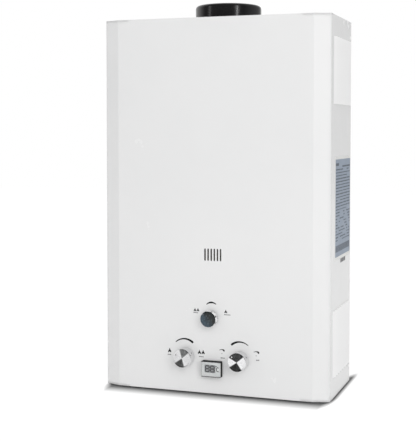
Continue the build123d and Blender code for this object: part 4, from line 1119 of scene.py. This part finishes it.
def cutThread(shape, foot, top):  # one ridge winding up from foot to top
    pitch, steps, root, crest = pick(fitting, "pitch steps root crest")
    inside = root - 0.0001
    rings = []
    for i in range(int((top - foot) / pitch * steps)):
        turn = 2 * pi * i / steps
        middle = foot + pitch * (i / steps + 0.25)
        grown = min(1.0, i / (steps * 0.8))  # the first turn runs out
        ring = []
        for share, radius in ((-0.5, root), (-0.1, crest), (0.1, crest), (0.5, root)):
            reach = inside + (radius - inside) * grown
            z = min(max(middle + share * pitch, foot), top)
            ring.append(around(shape, reach, turn, z))
        rings.append(ring)
    for ring, following in zip(rings, rings[1:]):
        for k in range(3):
            shape.faces.new((ring[k], ring[k + 1], following[k + 1], following[k]))


def tube(shape, foot, top, inner, outer, sides, bevel):
    profile = [(inner, foot), (outer - bevel, foot), (outer, foot + bevel), (outer, top - bevel)]
    spin(shape, profile + [(outer - bevel, top), (inner, top), (inner, foot)], sides)


def makeFitting(nodeName):
    low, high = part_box(nodeName)
    bore, bevel, steps, root, crest = pick(fitting, "bore bevel steps root crest")
    end = low.z + fitting["threadLength"]

    def build(shape):
        cutThread(shape, low.z, end)
        tube(shape, low.z, end, bore, root, steps, bevel / 2)
        tube(shape, end - bevel, high.z, bore, crest, steps, bevel / 4)
        for name, sides, edge in (("nut", 6, bevel), ("collar", steps, bevel / 2)):
            foot, top, reach = fitting[name]
            tube(shape, low.z + foot, low.z + top, crest - 0.001, reach, sides, edge)

    piece = addPiece(camelName(nodeName) + "Thread", build, "brass_fitting")
    x, y, _ = middleOf(nodeName)
    piece.location = (x, y, 0)
    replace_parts(piece, nodeName)


for nodeName in ("gas_inlet", "cold_inlet", "hot_outlet"):
    makeFitting(nodeName)
print("fittings threaded")

# ---- screws with a cross recess
screw = {
    "radius": 0.0036,
    "shank": 0.002,
    "shankLength": 0.008,
    "steps": 32,
    "armLong": 0.52,  # of the recess, in radii
    "armWide": 0.14,
    "taper": 0.8,
    "deep": 0.6,  # share of the head's height
}
collarHead = 0.002


def buildScrew(shape, place, height):  # place turns local Z out of the seat
    radius, shank, end, steps, long, wide, taper, deep = screw.values()
    made = bmesh.new()
    head = [(radius * 0.66, height), (radius * 0.88, height * 0.86), (radius, height * 0.4)]
    spin(made, [*head, (radius, 0)], steps)
    spin(made, [(radius, 0), (shank, 0), (shank, -end), (0, -end)], steps)
    corners = [Vector(corner) * radius for corner in ((long, -wide), (long, wide), (wide, wide))]
    outline = [Matrix.Rotation(i * pi / 2, 2) @ corner for i in range(4) for corner in corners]
    floor = height * (1 - deep)
    upper = [made.verts.new((x, y, height)) for x, y in outline]
    lower = [made.verts.new((x * taper, y * taper, floor)) for x, y in outline]
    loft(made, [upper, lower])
    made.faces.new(lower)
    bmesh.ops.remove_doubles(made, verts=made.verts, dist=1e-7)
    free = [edge for edge in made.edges if edge.is_boundary]
    rim = [edge for edge in free if all(abs(end.co.z - height) < 1e-7 for end in edge.verts)]
    bmesh.ops.triangle_fill(made, edges=rim, use_beauty=True)
    turned = place @ Matrix.Rotation(random.uniform(0, pi), 4, "Z")
    bmesh.ops.transform(made, matrix=turned, verts=made.verts)
    scrap = bpy.data.meshes.new("scrap")
    made.to_mesh(scrap)
    made.free()
    shape.from_mesh(scrap)
    bpy.data.meshes.remove(scrap)


def buildCoverScrews(shape):
    low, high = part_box("cover_screws")
    for sign in (-1, 1):
        for z in (low.z + screw["radius"], high.z - screw["radius"]):
            place = Matrix.Translation((sign * sideX, (low.y + high.y) / 2, z))
            buildScrew(shape, place @ Matrix.Rotation(sign * pi / 2, 4, "Y"), high.x - sideX)


def buildCollarScrews(shape):
    low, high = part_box("collar_screws")
    for x in (low.x + screw["radius"], high.x - screw["radius"]):
        for y in (low.y + screw["radius"], high.y - screw["radius"]):
            buildScrew(shape, Matrix.Translation((x, y, high.z - collarHead)), collarHead)


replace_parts(addPiece("coverScrewHeads", buildCoverScrews, "white_enamel"), "cover_screws")
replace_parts(addPiece("collarScrewHeads", buildCollarScrews, "zinc_screw"), "collar_screws")
print("screws made")

# ---- studio
studio = {
    "floorSize": 12.0,
    "floorLevel": -0.003,  # the rim's lower edge reads as a thin dark line
    "floorColour": (0.8, 0.8, 0.8),
    "floorCloud": (0.74, 0.74, 0.74),
    "floorSeen": (0.22, 0.22, 0.22),  # its share of real shading for the camera
    "floorGlow": 0.86,
    "shadowReach": (0.002, 0.042),  # glow grows between these distances from the case; nearer in it is held back, which paints the contact shadow
    "shadowCorner": 0.015,
    "sideSqueeze": 5.5,  # the painted shadow is this much narrower at the sides
    "slantFrom": 0.2065,  # the painted shadow draws back from here to the corners
    "slantSlope": 2.5,
    "ambient": (0.44, 0.72),  # from below the horizon and from overhead
    "frontGloss": 0.14,  # what gloss sees on the camera's side
    "sideGloss": 0.45,  # and to the right of the backdrop
}
lamps = {  # place, target, size, power, whether gloss mirrors it
    "keySoftbox": ((1.3, -2.9, 1.6), (0, 0, 0.35), (2.6, 2.6), 42.0, False),
    "rightStrip": ((2.2, -1.98, 1.2), (0, 0, 0.5), (0.14, 1.5), 10.0, True),
    "leftStrip": ((-2.3, -1.86, 1.2), (0, 0, 0.5), (0.14, 1.5), 3.0, True),
}


def directView():  # camera, glass and gloss see the backdrop, the rest is lit plainly
    path = put("LightPath").outputs
    through = calc("MAXIMUM", path["Is Camera Ray"], path["Is Transmission Ray"])
    return through, path["Is Glossy Ray"]


def makeWorld():
    world = bpy.data.worlds.new("studioWorld")
    scene.world = world
    world.use_nodes = True
    tree = wiring["tree"] = world.node_tree
    back = tree.nodes["Background"].inputs
    through, glossy = directView()
    x, y, z = split(put("TexCoord").outputs["Generated"])
    wall = span(x, 0.1, 0.34, 1.0, studio["sideGloss"])
    room = span(y, -0.3, 0.2, studio["frontGloss"], wall)  # dim in front, white wall behind
    dome = span(z, -0.3, 0.8, *studio["ambient"])
    plain = span(glossy, 0.0, 1.0, dome, room)
    feed(back["Strength"], span(through, 0.0, 1.0, plain, 1.0))
    feed(back["Color"], (1.0, 1.0, 1.0))


def footprintDistance():  # metres from the case's outline on the floor, which shapes the painted shadow
    corner, squeeze = studio["shadowCorner"], studio["sideSqueeze"]
    x, y, _ = split(objectPlace())
    aside = calc("ABSOLUTE", x)
    past = calc("MAXIMUM", calc("SUBTRACT", aside, studio["slantFrom"]), 0.0)
    ahead = calc("MULTIPLY_ADD", past, -studio["slantSlope"], y)
    reach = []
    sides = ((x, -sideX, sideX, squeeze), (ahead, coverLow.y, coverHigh.y, 1.0))
    for output, low, high, gain in sides:
        away = calc("ABSOLUTE", calc("SUBTRACT", output, (low + high) / 2))
        past = calc("SUBTRACT", away, (high - low) / 2)
        reach.append(calc("MAXIMUM", calc("MULTIPLY_ADD", past, gain, corner), 0.0))
    return calc("SUBTRACT", vectorCalc("LENGTH", join(*reach)), corner)


def makeFloor():
    size, level = studio["floorSize"] / 2, studio["floorLevel"]
    corners = ((-size, -size), (size, -size), (size, size), (-size, size))

    def build(shape):
        shape.faces.new([shape.verts.new((x, y, level)) for x, y in corners])

    floor = addObject("studioFloor", meshFrom(build, "studioFloor"))
    material = bpy.data.materials.new("paleFloor")
    material.use_nodes = True
    tree = wiring["tree"] = material.node_tree
    tree.nodes.remove(tree.nodes["Principled BSDF"])
    through, glossy = directView()
    seen = calc("MAXIMUM", through, glossy)
    cloud = times(noise(objectPlace(), 2.0, 3.0), 0.1)
    plain = mixColour(cloud, studio["floorColour"], studio["floorCloud"])
    shown = mixColour(seen, plain, studio["floorSeen"])
    diffuse = put("BsdfDiffuse", {"Color": shown}).outputs[0]
    # the glow is held back near the case: the dark there is partly the floor's real shading and
    # partly a painted contact shadow
    lit = span(footprintDistance(), *studio["shadowReach"], 0.0, studio["floorGlow"])
    glow = put("Emission", {"Strength": times(seen, lit)}).outputs[0]
    both = put("AddShader", {0: diffuse, 1: glow}).outputs[0]
    feed(tree.nodes["Material Output"].inputs["Surface"], both)
    floor.data.materials.append(material)


def addSoftbox(name, place, target, size, power, mirrored):
    data = bpy.data.lights.new(name, "AREA")
    data.shape = "RECTANGLE"
    data.size, data.size_y = size
    data.energy = power
    lamp = addObject(name, data)
    lamp.location = place
    lamp.rotation_euler = (Vector(target) - Vector(place)).to_track_quat("-Z", "Y").to_euler()
    lamp.visible_glossy = mirrored  # the key only fills, the strips draw the highlights


makeWorld()
makeFloor()
for name, lamp in lamps.items():
    addSoftbox(name, *lamp)
scene.view_settings.view_transform = "Standard"
print("studio ready")
